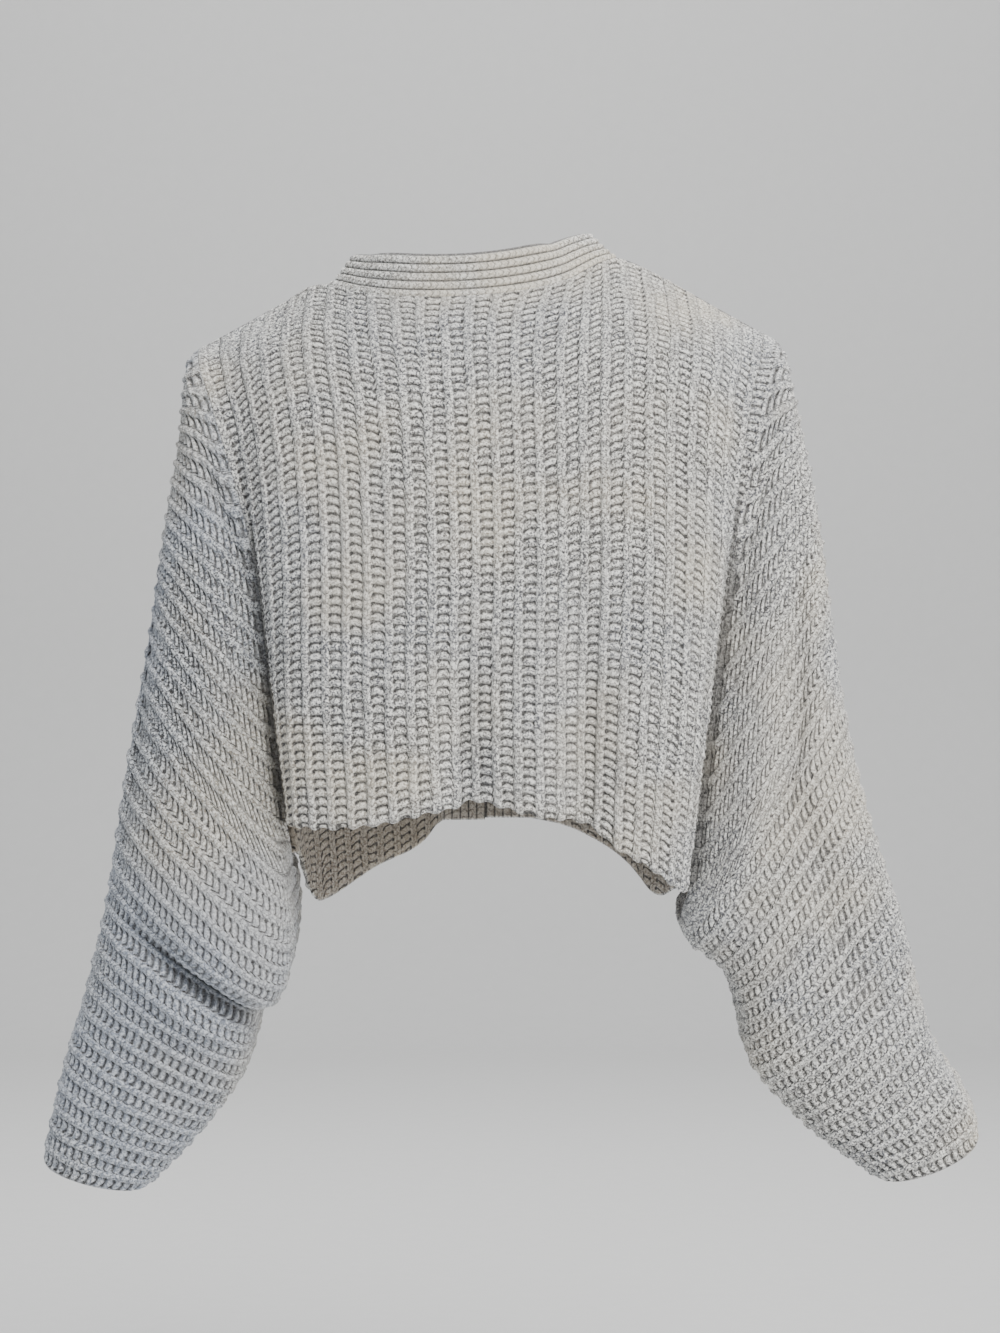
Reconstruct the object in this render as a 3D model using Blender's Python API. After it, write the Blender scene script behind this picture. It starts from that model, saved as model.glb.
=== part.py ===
"""Cropped batwing cardigan in ribbed crochet, worn shape, hollow, six pieces.

The frame has +Z up and +Y toward the wearer's front. The origin is the base of the neck.
Sizes in the tables are millimetres, and the meshes are made in metres.
"""

import bmesh
import bpy
import numpy as np

MM = 0.001

# Cloth
HALF_WALL = 1.6
RIB_RELIEF = 2.2
BAND_RELIEF = 1.6
SEAM_GAP = 0.6
SHOULDER_GAP = 1.0
NARROWEST_RIB = 9.0
FULL_RIB = 13.0

# How many ribs each piece has
BACK_RIBS = 26
FRONT_LEFT_RIBS = 12
FRONT_RIGHT_RIBS = 14
SLEEVE_RIBS = 40
ARMHOLE_RIBS = 17
CLOSING_RIBS = 3

# Columns round a sleeve, counted from the top line of the arm
SLEEVE_BACK_COLUMNS = 9
SLEEVE_FRONT_COLUMNS = 6

# The turn at the bottom of the deep fold beside each arm
FOLD_TURN = 6.0
FOLD_FULL = 25.0
FIRST_COLUMN = 9.0

# Near the shoulder a sleeve row carries on smoothly from the body, and further down it folds
SMOOTH_UNTIL_RIB = 4.0
SMOOTH_OVER_RIBS = 6.0
SMOOTH_BEND_SHARE = 0.2
PLAIN_BEND_SHARE = 0.22
FOLD_ENDS_OVER_RIBS = 2.0
SLEEVE_ROW = (
    # share, fold_reach, depth_share, carried_share, carried_rise
    (0.02, 0.10, 0.86, 0.45, 0.0),
    (0.5, 0.0, 1.06, 0.80, 0.08),
    (1.0, 0.0, 0.72, 1.0, 0.48),
)

# Neckband
BAND_WIDTH = 33.0
BAND_RIDGES = 5

# How far the band stands up: fully behind this depth, and less toward the front
BAND_STANDS_FROM_Y = 60.0
BAND_STANDS_OVER = 110.0
BAND_TILT = 0.2
BAND_LEANS = (
    # side, lean, from_x, over
    (-1.0, 1.1, 60.0, 70.0),
    (1.0, 1.8, 35.0, 60.0),
)
BAND_INNER_ROW = 4

CORNER_ROUNDS = 5
SLEEVE_INNER_STEP = 4
SIDE_RIB_SHARE = 0.5

# Share of the armhole over which the shoulder's slope runs out
SLOPE_ENDS = 0.25

# Sides that show at the left and the right of the photo, and the way out of the front
LEFT = -1
RIGHT = 1
TOWARD_FRONT = np.array([0.0, 1.0, 0.0])

# How a level runs from the armhole to the middle of the back
BACK_LIP_REACH = 24.0
BACK_LIP_RISE = -4.0
BACK_FACE_Y = -99.0
BACK_HALF = (
    # share, depth_share, drop_share
    (0.24, 0.72, 0.4),
    (0.62, 1.0, 0.8),
)

# How a level runs from the armhole over the chest to the band
FRONT_LIP_REACH = 22.0
FRONT_LIP_RISE = 3.0
CHEST_SHARE = 0.4
CHEST_DEPTH_SHARE = 0.8
FLAT_SHARE = 0.75
FLAT_RISE = 1.0
HEM_CURVE_SHARE = 0.24

# Shares of a sleeve row that the creases leave alone at its two ends
INNER_HOLD = 0.18
OUTER_HOLD = 0.12

# Back, a row for each level. The edge is the visible edge of the fold beside the arm.
BACK_LEVELS = (
    # left_x, left_z, right_x, right_z, edge_y, fold, middle_z, middle_y
    (-214.0, -60.0, 217.0, -52.0, -50.0, 0.0, -34.0, -84.0),
    (-193.0, -116.0, 202.0, -100.0, -82.0, 4.0, -95.0, -116.0),
    (-162.0, -208.0, 177.0, -198.0, -99.0, 26.0, -200.0, -132.0),
    (-153.0, -303.0, 163.0, -311.0, -101.0, 38.0, -300.0, -129.0),
    (-141.5, -401.0, 146.0, -449.0, -99.0, 44.0, -392.0, -121.0),
)

# Front, a row for each level, with the edge where the band is sewn on.
FRONT_LEVELS = (
    # left_x, left_z, right_x, right_z, edge_y, fold, middle_y, band_left_x, band_right_x, band_y, band_z
    (-215.0, -60.0, 218.0, -52.0, 40.0, 0.0, 36.0, -120.0, 103.0, 30.0, -5.0),
    (-200.0, -120.0, 208.0, -108.0, 68.0, 2.0, 88.0, -104.0, 92.0, 82.0, -72.0),
    (-172.0, -220.0, 184.0, -212.0, 82.0, 14.0, 108.0, -70.0, 64.0, 108.0, -165.0),
    (-158.0, -316.0, 168.0, -322.0, 84.0, 22.0, 116.0, -33.6, 33.6, 120.0, -262.0),
    (-146.0, -429.0, 151.0, -457.0, 80.0, 26.0, 114.0, -33.6, 33.6, 121.0, -400.0),
)

# Top edge of the back, from the left shoulder point round the neck to the right one
SHOULDER_LINE = (
    # x, y, z
    (-216.6, 0.0, -47.0),
    (-187.0, 0.0, -31.0),
    (-146.0, 0.0, -8.0),
    (-126.0, -12.0, 4.0),
    (-84.0, -52.0, -12.0),
    (-10.0, -68.0, -15.0),
    (56.0, -54.0, -4.0),
    (88.0, -24.0, 18.0),
    (106.0, 0.0, 24.0),
    (188.0, 0.0, -23.0),
    (220.4, 0.0, -40.3),
)
NECK_SIDE_LEFT_X = -118.0
NECK_SIDE_RIGHT_X = 99.0

# Lower edges
BACK_HEM = (
    # x, z
    (-142.0, -400.5),
    (-114.0, -403.0),
    (-72.0, -398.5),
    (-40.0, -390.0),
    (-22.0, -388.0),
    (-10.0, -380.0),
    (10.0, -385.0),
    (41.0, -394.0),
    (66.0, -395.5),
    (79.0, -400.0),
    (94.0, -416.0),
    (122.0, -431.0),
    (138.0, -445.0),
    (146.0, -449.5),
)
FRONT_HEM = (
    # x, z
    (-146.0, -430.0),
    (-136.0, -471.0),
    (-121.0, -466.0),
    (-98.0, -450.0),
    (-84.0, -441.0),
    (-50.0, -427.0),
    (-36.0, -404.0),
    (0.0, -401.0),
    (60.0, -408.0),
    (96.0, -426.0),
    (116.0, -442.0),
    (134.0, -468.0),
    (151.0, -458.0),
)

# Long soft folds that hang down the back
BACK_FOLDS = (
    # x, half_width, depth, start_share
    (-15.0, 15.0, 9.0, 0.52),
    (73.0, 17.0, 11.0, 0.36),
    (-62.0, 26.0, -4.0, 0.45),
    (30.0, 24.0, -4.0, 0.5),
)

# Top line of each arm, from the shoulder point to the cuff
ARM_LINE_LEFT = (
    # x, y, z
    (-216.6, 0.0, -47.0),
    (-223.0, 0.0, -58.0),
    (-224.4, 0.0, -84.0),
    (-228.0, 1.0, -121.0),
    (-239.2, 2.0, -181.0),
    (-250.4, 4.0, -263.0),
    (-269.6, 8.0, -372.0),
    (-281.2, 11.0, -455.0),
    (-299.8, 15.0, -531.0),
    (-316.8, 18.0, -582.0),
    (-333.6, 22.0, -656.0),
)
ARM_LINE_RIGHT = (
    # x, y, z
    (220.4, 0.0, -40.3),
    (224.5, 0.0, -52.0),
    (227.4, 0.0, -72.0),
    (235.0, 1.0, -103.0),
    (247.2, 2.0, -163.0),
    (262.6, 4.0, -281.0),
    (274.2, 7.0, -346.0),
    (295.6, 10.0, -424.0),
    (314.6, 13.0, -474.0),
    (327.8, 16.0, -538.0),
    (343.0, 19.0, -582.0),
    (368.0, 21.0, -615.0),
    (373.5, 22.0, -636.0),
)

# Under edge of each sleeve, from the side of the hem to the cuff
UNDER_LINE_LEFT = (
    # x, y, z
    (-148.0, 0.0, -438.0),
    (-144.0, 0.0, -466.0),
    (-146.0, 2.0, -497.0),
    (-153.0, 4.0, -519.0),
    (-170.0, 7.0, -531.0),
    (-174.5, 10.0, -556.0),
    (-178.0, 12.5, -574.0),
    (-188.0, 15.0, -596.0),
    (-224.0, 19.0, -641.0),
    (-257.0, 22.0, -672.0),
)
UNDER_LINE_RIGHT = (
    # x, y, z
    (151.0, 0.0, -474.0),
    (149.0, 0.0, -484.0),
    (163.0, 2.0, -492.0),
    (182.0, 5.0, -506.0),
    (194.0, 9.0, -541.0),
    (198.5, 13.0, -574.0),
    (214.0, 15.5, -594.0),
    (247.0, 18.5, -627.0),
    (297.0, 22.0, -661.0),
)

# How far along the top line of the arm a rib lies
ARM_PLACES = (
    # rib, share
    (0.0, 0.0),
    (8.0, 0.15),
    (17.0, 0.35),
    (24.0, 0.585),
    (33.0, 0.82),
    (40.0, 1.0),
)

# Girth of a sleeve, a row for each place along it, counted in ribs
SLEEVE_LEFT_GIRTH = (
    # rib, back_depth, front_depth, sag
    (0.0, 12.0, 12.0, 0.0),
    (3.0, 62.0, 60.0, 4.0),
    (8.0, 84.0, 82.0, 8.0),
    (17.0, 92.0, 88.0, 12.0),
    (26.0, 90.0, 78.0, 14.0),
    (31.0, 72.0, 68.0, 13.0),
    (40.0, 50.0, 52.0, 11.0),
)
SLEEVE_RIGHT_GIRTH = (
    # rib, back_depth, front_depth, sag
    (0.0, 12.0, 12.0, 0.0),
    (3.0, 62.0, 60.0, 4.0),
    (8.0, 84.0, 82.0, 8.0),
    (17.0, 90.0, 86.0, 14.0),
    (26.0, 82.0, 76.0, 17.0),
    (33.0, 66.0, 64.0, 17.0),
    (40.0, 52.0, 52.0, 17.0),
)

# Soft creases and lobes on the back of a sleeve. Share 0 is the inner edge, 1 the top line.
SLEEVE_LEFT_FOLDS = (
    # middle_rib, half_ribs, share, half_share, inward, raised
    (14.0, 9.0, 0.80, 0.08, 9.0, 0.0),
    (24.0, 3.2, 0.36, 0.36, -13.0, -14.0),
    (27.0, 0.9, 0.38, 0.30, 17.0, 8.0),
    (29.0, 1.1, 0.46, 0.14, -5.0, 0.0),
    (33.0, 2.0, 0.45, 0.20, 4.0, 0.0),
)
SLEEVE_RIGHT_FOLDS = (
    # middle_rib, half_ribs, share, half_share, inward, raised
    (15.0, 8.0, 0.55, 0.10, 6.0, 0.0),
    (28.0, 3.5, 0.62, 0.12, 5.0, 0.0),
    (20.0, 6.0, 0.30, 0.16, -5.0, 0.0),
)

GREY_WOOL = (0.56, 0.56, 0.54, 1.0)
WOOL_ROUGHNESS = 0.9


def round_corners(points):
    """Round a control polygon by cutting its corners, both ends kept."""
    points = np.asarray(points, dtype=float)
    for _ in range(CORNER_ROUNDS):
        near = 0.75 * points[:-1] + 0.25 * points[1:]
        far = 0.25 * points[:-1] + 0.75 * points[1:]
        cut = np.stack([near, far], axis=1).reshape((-1,) + points.shape[1:])
        points = np.concatenate([points[:1], cut, points[-1:]])
    return points


def at_shares(curve, shares):
    """Points of a curve at shares of its length."""
    steps = np.linalg.norm(np.diff(curve, axis=0), axis=1)
    along = np.concatenate([[0.0], np.cumsum(steps)])
    wanted = np.asarray(shares) * along[-1]
    return np.stack([np.interp(wanted, along, curve[:, axis]) for axis in range(3)], axis=1)


def profile(pairs, where):
    """Smooth value at a place, read from rows of (place, value)."""
    curve = round_corners(pairs)
    return np.interp(where, curve[:, 0], curve[:, 1])


def ease(value):
    """Soft step from 0 to 1."""
    value = np.clip(value, 0.0, 1.0)
    return value * value * (3.0 - 2.0 * value)


def unit(vectors):
    """Vectors scaled to length 1."""
    vectors = np.asarray(vectors, dtype=float)
    return vectors / np.maximum(np.linalg.norm(vectors, axis=-1, keepdims=True), 1e-9)


def fold_points(edge, fold, inward, lip_reach, lip_rise):
    """Seam, turn and lip of one level at an armhole: a deep fold, or a soft bend where none is.

    The inward way is +1 or -1 along x. The lip rises to the back with a negative lip_rise.
    """
    edge_x, edge_y, edge_z = edge
    depth = min(1.0, abs(fold) / FOLD_FULL)
    shallow = 1.0 - depth
    seam = np.array([edge_x - inward * FOLD_TURN * depth, edge_y + fold, edge_z])
    turn = seam + np.array([inward * FOLD_TURN * (1.0 + shallow), 0.0, 0.0])
    lip = np.array([edge_x + inward * lip_reach * shallow, edge_y + lip_rise * shallow, edge_z])
    return [seam, turn, lip]


def level_polygon(level):
    """Control polygon of one level of the back, left seam to right seam."""
    left_x, left_z, right_x, right_z, edge_y, fold, middle_z, middle_y = level
    middle_x = 0.5 * (left_x + right_x)
    halves = []
    for edge_x, edge_z in ((left_x, left_z), (right_x, right_z)):
        inward = middle_x - edge_x
        half = fold_points((edge_x, edge_y, edge_z), fold, np.sign(inward), BACK_LIP_REACH, BACK_LIP_RISE)
        for share, depth_share, drop_share in BACK_HALF:
            half.append(np.array([edge_x + share * inward, edge_y + depth_share * (middle_y - edge_y),
                                  edge_z + drop_share * (middle_z - edge_z)]))
        halves.append(half)
    middle = np.array([middle_x, middle_y, middle_z])
    return np.array(halves[0] + [middle] + halves[1][::-1])


def back_grid(column_shares, row_shares):
    """Middle surface of the back: rows go down from the shoulders, columns left to right."""
    rows = [at_shares(round_corners(SHOULDER_LINE), column_shares)]
    for level in BACK_LEVELS:
        rows.append(at_shares(round_corners(level_polygon(level)), column_shares))
    rows = np.array(rows)
    grid = np.stack([at_shares(round_corners(rows[:, column]), row_shares)
                     for column in range(rows.shape[1])], axis=1)
    hem_drop = profile(BACK_HEM, grid[-1, :, 0]) - grid[-1, :, 2]
    down = np.asarray(row_shares)[:, None]
    grid[:, :, 2] += hem_drop[None, :] * down ** 3
    for fold_x, half_width, depth, start in BACK_FOLDS:
        reach = ease((down - start) / (1.0 - start))
        visible = grid[:, :, 1] < BACK_FACE_Y
        across = np.exp(-((grid[:, :, 0] - fold_x) / half_width) ** 2)
        grid[:, :, 1] += depth * reach * across * visible
    return grid


def neck_columns(column_shares):
    """Columns of the back that stand at the two sides of the neck."""
    line = at_shares(round_corners(SHOULDER_LINE), column_shares)
    left = int(np.argmin(np.abs(line[:, 0] - NECK_SIDE_LEFT_X)))
    right = int(np.argmin(np.abs(line[:, 0] - NECK_SIDE_RIGHT_X)))
    return left, right


def between_columns(values, places):
    """Values read between the numbered columns of a row."""
    numbers = np.arange(len(values))
    return np.stack([np.interp(places, numbers, values[:, axis]) for axis in range(3)], axis=1)


def front_grid(side, shoulder, column_shares, row_shares):
    """Middle surface of one front: rows go down, columns from the side seam to the band."""
    rows = [shoulder]
    for level in FRONT_LEVELS:
        left_x, left_z, right_x, right_z, edge_y, fold, middle_y = level[:7]
        band_left, band_right, band_y, band_z = level[7:]
        edge_x = left_x if side < 0 else right_x
        edge_z = left_z if side < 0 else right_z
        band_x = band_left if side < 0 else band_right
        inward = band_x - edge_x
        points = fold_points((edge_x, edge_y, edge_z), -fold, np.sign(inward), FRONT_LIP_REACH,
                             FRONT_LIP_RISE)
        points.append(np.array([edge_x + CHEST_SHARE * inward,
                                edge_y + CHEST_DEPTH_SHARE * (middle_y - edge_y),
                                edge_z + CHEST_SHARE * (band_z - edge_z)]))
        points.append(np.array([edge_x + FLAT_SHARE * inward, 0.5 * (middle_y + band_y) + FLAT_RISE,
                                edge_z + FLAT_SHARE * (band_z - edge_z)]))
        points.append(np.array([band_x, band_y, band_z]))
        rows.append(at_shares(round_corners(points), column_shares))
    rows = np.array(rows)
    grid = np.stack([at_shares(round_corners(rows[:, column]), row_shares)
                     for column in range(rows.shape[1])], axis=1)
    down = np.asarray(row_shares)[:, None]
    inner = ease(np.asarray(column_shares) / HEM_CURVE_SHARE)
    hem_drop = (profile(FRONT_HEM, grid[-1, :, 0]) - grid[-1, :, 2]) * inner
    grid[:, :, 2] += hem_drop[None, :] * down ** 3
    return grid


def half_row(start, end, depth, sag, way, fold_share, smooth_share):
    """Control polygon of half a sleeve row, inner edge to the top line of the arm.

    The way is -1 for the wearer's back and +1 for the front. A fold share of 1 starts the row
    at the bottom of the deep fold. A smooth share of 1 carries the body's cloth on past the seam.
    """
    out = np.sign(end[0] - start[0])
    reach = end - start
    folded = np.array([out * FOLD_TURN, 0.0, 0.0])
    level = np.array([SMOOTH_BEND_SHARE * reach[0], 0.0, 0.0])
    turned = folded * (1.0 - smooth_share) + level * smooth_share
    plain = np.array([0.0, way * PLAIN_BEND_SHARE * depth, 0.0])
    points = [start, start + fold_share * turned + (1.0 - fold_share) * plain]
    for share, fold_reach, depth_share, carried_share, carried_rise in SLEEVE_ROW:
        folded_share = share + fold_reach * fold_share
        place = start + reach * (folded_share * (1.0 - smooth_share) + carried_share * smooth_share)
        folded_y = end[1] + way * depth * depth_share
        carried_y = start[1] + reach[1] * carried_rise
        drop = sag * depth_share * way * (1.0 - smooth_share)
        place_y = folded_y * (1.0 - smooth_share) + carried_y * smooth_share
        points.append(np.array([place[0], place_y, place[2] + drop]))
    return np.array(points + [end])


def half_columns(curve, count):
    """Shares of half a row: one column close to the seam, the rest even."""
    length = np.linalg.norm(np.diff(curve, axis=0), axis=1).sum()
    first = min(FIRST_COLUMN / max(length, 1.0), 1.0 / count)
    return np.concatenate([[0.0], np.linspace(first, 1.0, count)])


def sleeve_rows(arm_line, under_line, girth, folds, edges):
    """Middle surface of a sleeve, a row for each rib, from the shoulder point to the cuff."""
    back_edge, front_edge = edges
    girth = np.array(girth)
    arm = at_shares(round_corners(arm_line), profile(ARM_PLACES, np.arange(SLEEVE_RIBS + 1)))
    side = 0.5 * (back_edge[-1] + front_edge[-1])
    under_curve = round_corners([side] + list(under_line))
    tube = SLEEVE_RIBS - ARMHOLE_RIBS
    under = at_shares(under_curve, np.arange(tube + 1) / tube)
    rows = []
    for rib in range(SLEEVE_RIBS + 1):
        back_depth = profile(girth[:, [0, 1]], rib)
        front_depth = profile(girth[:, [0, 2]], rib)
        sag = profile(girth[:, [0, 3]], rib)
        end = arm[rib]
        if rib <= ARMHOLE_RIBS:
            back_start = back_edge[rib]
            front_start = front_edge[rib]
            fold_share = 1.0
            smooth_share = 1.0 - ease((rib - SMOOTH_UNTIL_RIB) / SMOOTH_OVER_RIBS)
        else:
            past = rib - ARMHOLE_RIBS
            spread = 1.0 - ease(past / CLOSING_RIBS)
            fold_share = max(0.0, 1.0 - past / FOLD_ENDS_OVER_RIBS)
            smooth_share = 0.0
            centre = under[past]
            back_start = centre + spread * (back_edge[-1] - side)
            front_start = centre + spread * (front_edge[-1] - side)
        back_curve = round_corners(
            half_row(back_start, end, back_depth, sag, -1, fold_share, smooth_share))
        front_curve = round_corners(
            half_row(front_start, end, front_depth, sag, 1, fold_share, smooth_share))
        back_half = at_shares(back_curve, half_columns(back_curve, SLEEVE_BACK_COLUMNS))
        front_half = at_shares(front_curve, half_columns(front_curve, SLEEVE_FRONT_COLUMNS))
        shares = np.linspace(0.0, 1.0, len(back_half))
        for middle_rib, half_ribs, share, half_share, inward, raised in folds:
            along = np.exp(-((rib - middle_rib) / half_ribs) ** 2)
            across = np.exp(-((shares - share) / half_share) ** 2)
            hold = ease(shares / INNER_HOLD) * ease((1.0 - shares) / OUTER_HOLD)
            back_half[:, 1] += inward * along * across * hold
            back_half[:, 2] += raised * along * across * hold
        rows.append(np.concatenate([back_half, front_half[::-1][1:]]))
    rows = np.array(rows)
    rows[0] = arm[0]
    return rows


def grid_normals(grid, outward):
    """Normals of a grid of points, turned to agree with a way out at its middle."""
    normals = unit(np.cross(np.gradient(grid, axis=1), np.gradient(grid, axis=0)))
    middle = normals[grid.shape[0] // 2, grid.shape[1] // 2]
    return normals * np.sign(middle @ np.array(outward))


def with_crests(points, axis):
    """Points with one more row or column in the middle of each rib."""
    points = np.moveaxis(points, axis, 0)
    middles = 0.5 * (points[:-1] + points[1:])
    woven = np.empty((2 * len(points) - 1,) + points.shape[1:])
    woven[0::2] = points
    woven[1::2] = middles
    return np.moveaxis(woven, 0, axis)


def rib_heights(grid, fine, axis, fade):
    """Height of the rib crests: none in the valleys, at the seams or where the ribs close up."""
    pitch = np.linalg.norm(np.diff(grid, axis=axis), axis=2)
    squeeze = ease((pitch - NARROWEST_RIB) / (FULL_RIB - NARROWEST_RIB))
    height = np.zeros(fine.shape[:2])
    if axis == 0:
        height[1::2] = squeeze
    else:
        height[:, 1::2] = squeeze
    return RIB_RELIEF * height * fade


def pull_back(points, inner_points, gap=SEAM_GAP):
    """Seam points drawn back by half the gap toward the next points."""
    return points + unit(inner_points - points) * (0.5 * gap)


def zip_edge(faces, fine, coarse, places):
    """Close a rim between a fine edge and a coarse one that shares some of its places."""
    for number in range(len(coarse) - 1):
        first, last = places[number], places[number + 1]
        half = (first + last) // 2
        for step in range(first, half):
            faces.append((coarse[number], fine[step], fine[step + 1]))
        faces.append((coarse[number], fine[half], coarse[number + 1]))
        for step in range(half, last):
            faces.append((coarse[number + 1], fine[step], fine[step + 1]))


def number_grid(points, grid, rows, pole, closed_from):
    """Vertex numbers of a grid whose points are added to the list, joined points shared."""
    numbers = np.zeros(grid.shape[:2], dtype=int)
    for row in range(grid.shape[0]):
        for column in range(grid.shape[1]):
            if pole and row == 0 and column > 0:
                numbers[row, column] = numbers[0, 0]
            elif rows[row] >= closed_from and column == grid.shape[1] - 1:
                numbers[row, column] = numbers[row, 0]
            else:
                numbers[row, column] = len(points)
                points.append(grid[row, column] * MM)
    return numbers


def skin_faces(numbers):
    """Faces of one skin, triangles where its corners are joined."""
    faces = []
    for row in range(numbers.shape[0] - 1):
        for column in range(numbers.shape[1] - 1):
            corners = [numbers[row, column], numbers[row + 1, column],
                       numbers[row + 1, column + 1], numbers[row, column + 1]]
            kept = list(dict.fromkeys(corners))
            if len(kept) > 2:
                faces.append(tuple(kept))
    return faces


def wall_mesh(name, outer, inner, inner_rows, inner_columns, pole=False, closed_from=None):
    """Closed wall between an outer grid and a plainer inner grid.

    A pole gathers the first row in one point. From the row closed_from on, the first
    and the last column are one.
    """
    count_rows = outer.shape[0]
    closed_from = count_rows if closed_from is None else closed_from
    points = []
    outer_numbers = number_grid(points, outer, range(count_rows), pole, closed_from)
    kept_inner = inner[np.ix_(inner_rows, inner_columns)]
    inner_numbers = number_grid(points, kept_inner, inner_rows, pole, closed_from)
    faces = skin_faces(outer_numbers) + skin_faces(inner_numbers)
    open_rows = [place for place, row in enumerate(inner_rows) if row <= closed_from]
    open_places = [inner_rows[place] for place in open_rows]
    for column in (0, -1):
        zip_edge(faces, outer_numbers[:, column], inner_numbers[open_rows, column], open_places)
    for row in (-1,) if pole else (0, -1):
        zip_edge(faces, outer_numbers[row], inner_numbers[row], inner_columns)

    mesh = bpy.data.meshes.new(name)
    body = bmesh.new()
    vertices = [body.verts.new(point) for point in points]
    for face in faces:
        if len(set(face)) == len(face):
            body.faces.new([vertices[number] for number in face])
    bmesh.ops.recalc_face_normals(body, faces=body.faces)
    body.to_mesh(mesh)
    body.free()
    mesh.shade_smooth()
    return mesh


def wool(name):
    """Plain heather wool of one piece."""
    material = bpy.data.materials.new(name)
    material.use_nodes = True
    shader = material.node_tree.nodes["Principled BSDF"]
    shader.inputs["Base Color"].default_value = GREY_WOOL
    shader.inputs["Roughness"].default_value = WOOL_ROUGHNESS
    shader.inputs["Metallic"].default_value = 0.0
    return material


def add_piece(name, mesh):
    """Put one named piece in the scene with its own wool."""
    piece = bpy.data.objects.new(name, mesh)
    bpy.context.scene.collection.objects.link(piece)
    mesh.materials.append(wool(name.replace("_", " ") + " wool"))


def clear_scene():
    """Remove every object of the open scene."""
    for item in list(bpy.data.objects):
        bpy.data.objects.remove(item, do_unlink=True)


def body_pieces():
    """Middle surfaces of the back and the fronts, and where the fronts meet the back's top."""
    column_shares = np.linspace(0.0, 1.0, BACK_RIBS + 1)
    row_shares = np.linspace(0.0, 1.0, ARMHOLE_RIBS + 1)
    left_shares = np.linspace(0.0, 1.0, FRONT_LEFT_RIBS + 1)
    right_shares = np.linspace(0.0, 1.0, FRONT_RIGHT_RIBS + 1)
    back = back_grid(column_shares, row_shares)
    neck = neck_columns(column_shares)
    places = {
        LEFT: left_shares * neck[0],
        RIGHT: BACK_RIBS - right_shares * (BACK_RIBS - neck[1]),
    }
    shares = {LEFT: left_shares, RIGHT: right_shares}
    fronts = {side: front_grid(side, between_columns(back[0], place), shares[side], row_shares)
              for side, place in places.items()}
    return back, fronts, places, neck


def ways_across():
    """Way of the cloth across each armhole seam, away from the body, row by row."""
    row_shares = np.linspace(0.0, 1.0, ARMHOLE_RIBS + 1)
    flat = ease(row_shares / SLOPE_ENDS)[:, None]
    line = np.array(SHOULDER_LINE)
    slopes = {LEFT: unit(line[0] - line[1]), RIGHT: unit(line[-1] - line[-2])}
    return {side: unit(slope * (1.0 - flat) + np.array([side, 0.0, 0.0]) * flat)
            for side, slope in slopes.items()}


def armhole_seam(edge, across, way):
    """Seam normals that a body piece and a sleeve share. The way is -1 for the back, +1 for a front."""
    along = np.gradient(edge, axis=0)
    along[0] = (0.0, way, 0.0)
    normals = unit(np.cross(across, along))
    return normals * np.sign(normals[0, 2])


def shoulder_normals(line):
    """Normals at a shoulder seam, which the cloth crosses straight toward the front."""
    normals = unit(np.cross(np.gradient(line, axis=0), TOWARD_FRONT))
    return normals * np.sign(normals[:, 2:3])


def band_ways(path, path_normals):
    """Way of the neckband's width and its normals along its seam line."""
    along = unit(np.gradient(path, axis=0))
    standing = ease((BAND_STANDS_FROM_Y - path[:, 1]) / BAND_STANDS_OVER)[:, None]
    lean = np.zeros(len(path))
    for side, reach, from_x, over in BAND_LEANS:
        lean -= side * reach * ease((side * path[:, 0] - from_x) / over)
    up = np.stack([lean, np.full(len(path), BAND_TILT), np.ones(len(path))], axis=1)
    flat = unit(np.cross(along, path_normals))
    flat *= -np.sign(flat[:, 0] * path[:, 0])[:, None]
    stood = unit(up - along * np.sum(up * along, axis=1, keepdims=True))
    way = unit(flat * (1.0 - standing) + stood * standing)
    way = unit(way - along * np.sum(way * along, axis=1, keepdims=True))
    normals = unit(np.cross(along, way))
    facing = np.sum(normals * path_normals, axis=1)
    return way, normals * np.where(facing < 0, -1.0, 1.0)[:, None]


def make_neckband(path, way, normals, shared):
    """Band of five lengthwise ridges round the neck and down both front edges."""
    ridge_shares = np.linspace(0.0, 1.0, 2 * BAND_RIDGES + 1)
    band = path[None] + way[None] * (ridge_shares * BAND_WIDTH)[:, None, None]
    band[0] = path + way * (0.5 * SHOULDER_GAP)
    all_normals = np.repeat(normals[None], len(ridge_shares), axis=0)
    all_normals[0] = shared
    height = BAND_RELIEF * (np.arange(len(ridge_shares)) % 2)[:, None, None]
    outer = band + all_normals * (HALF_WALL + height)
    inner = band - all_normals * HALF_WALL
    inner_rows = [0, BAND_INNER_ROW, len(ridge_shares) - 1]
    add_piece("neckband", wall_mesh("neckband", outer, inner, inner_rows, list(range(len(path)))))


def make_panel(name, grid, normals):
    """Back or front: ribs that run down, its top row and side columns drawn back for the seams."""
    drawn = grid.copy()
    drawn[:, 0] = pull_back(grid[:, 0], grid[:, 1])
    drawn[:, -1] = pull_back(grid[:, -1], grid[:, -2])
    drawn[0] = pull_back(drawn[0], drawn[1], SHOULDER_GAP)
    fine = with_crests(drawn, 1)
    fine_normals = unit(with_crests(normals, 1))
    fade = np.ones(fine.shape[:2])
    fade[0] = 0.0
    fade[:, [1, -2]] = SIDE_RIB_SHARE
    height = rib_heights(drawn, fine, 1, fade)
    outer = fine + fine_normals * (HALF_WALL + height)[:, :, None]
    inner = fine - fine_normals * HALF_WALL
    inner_rows = list(range(fine.shape[0]))
    inner_columns = list(range(0, fine.shape[1], 2))
    add_piece(name, wall_mesh(name, outer, inner, inner_rows, inner_columns))


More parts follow.
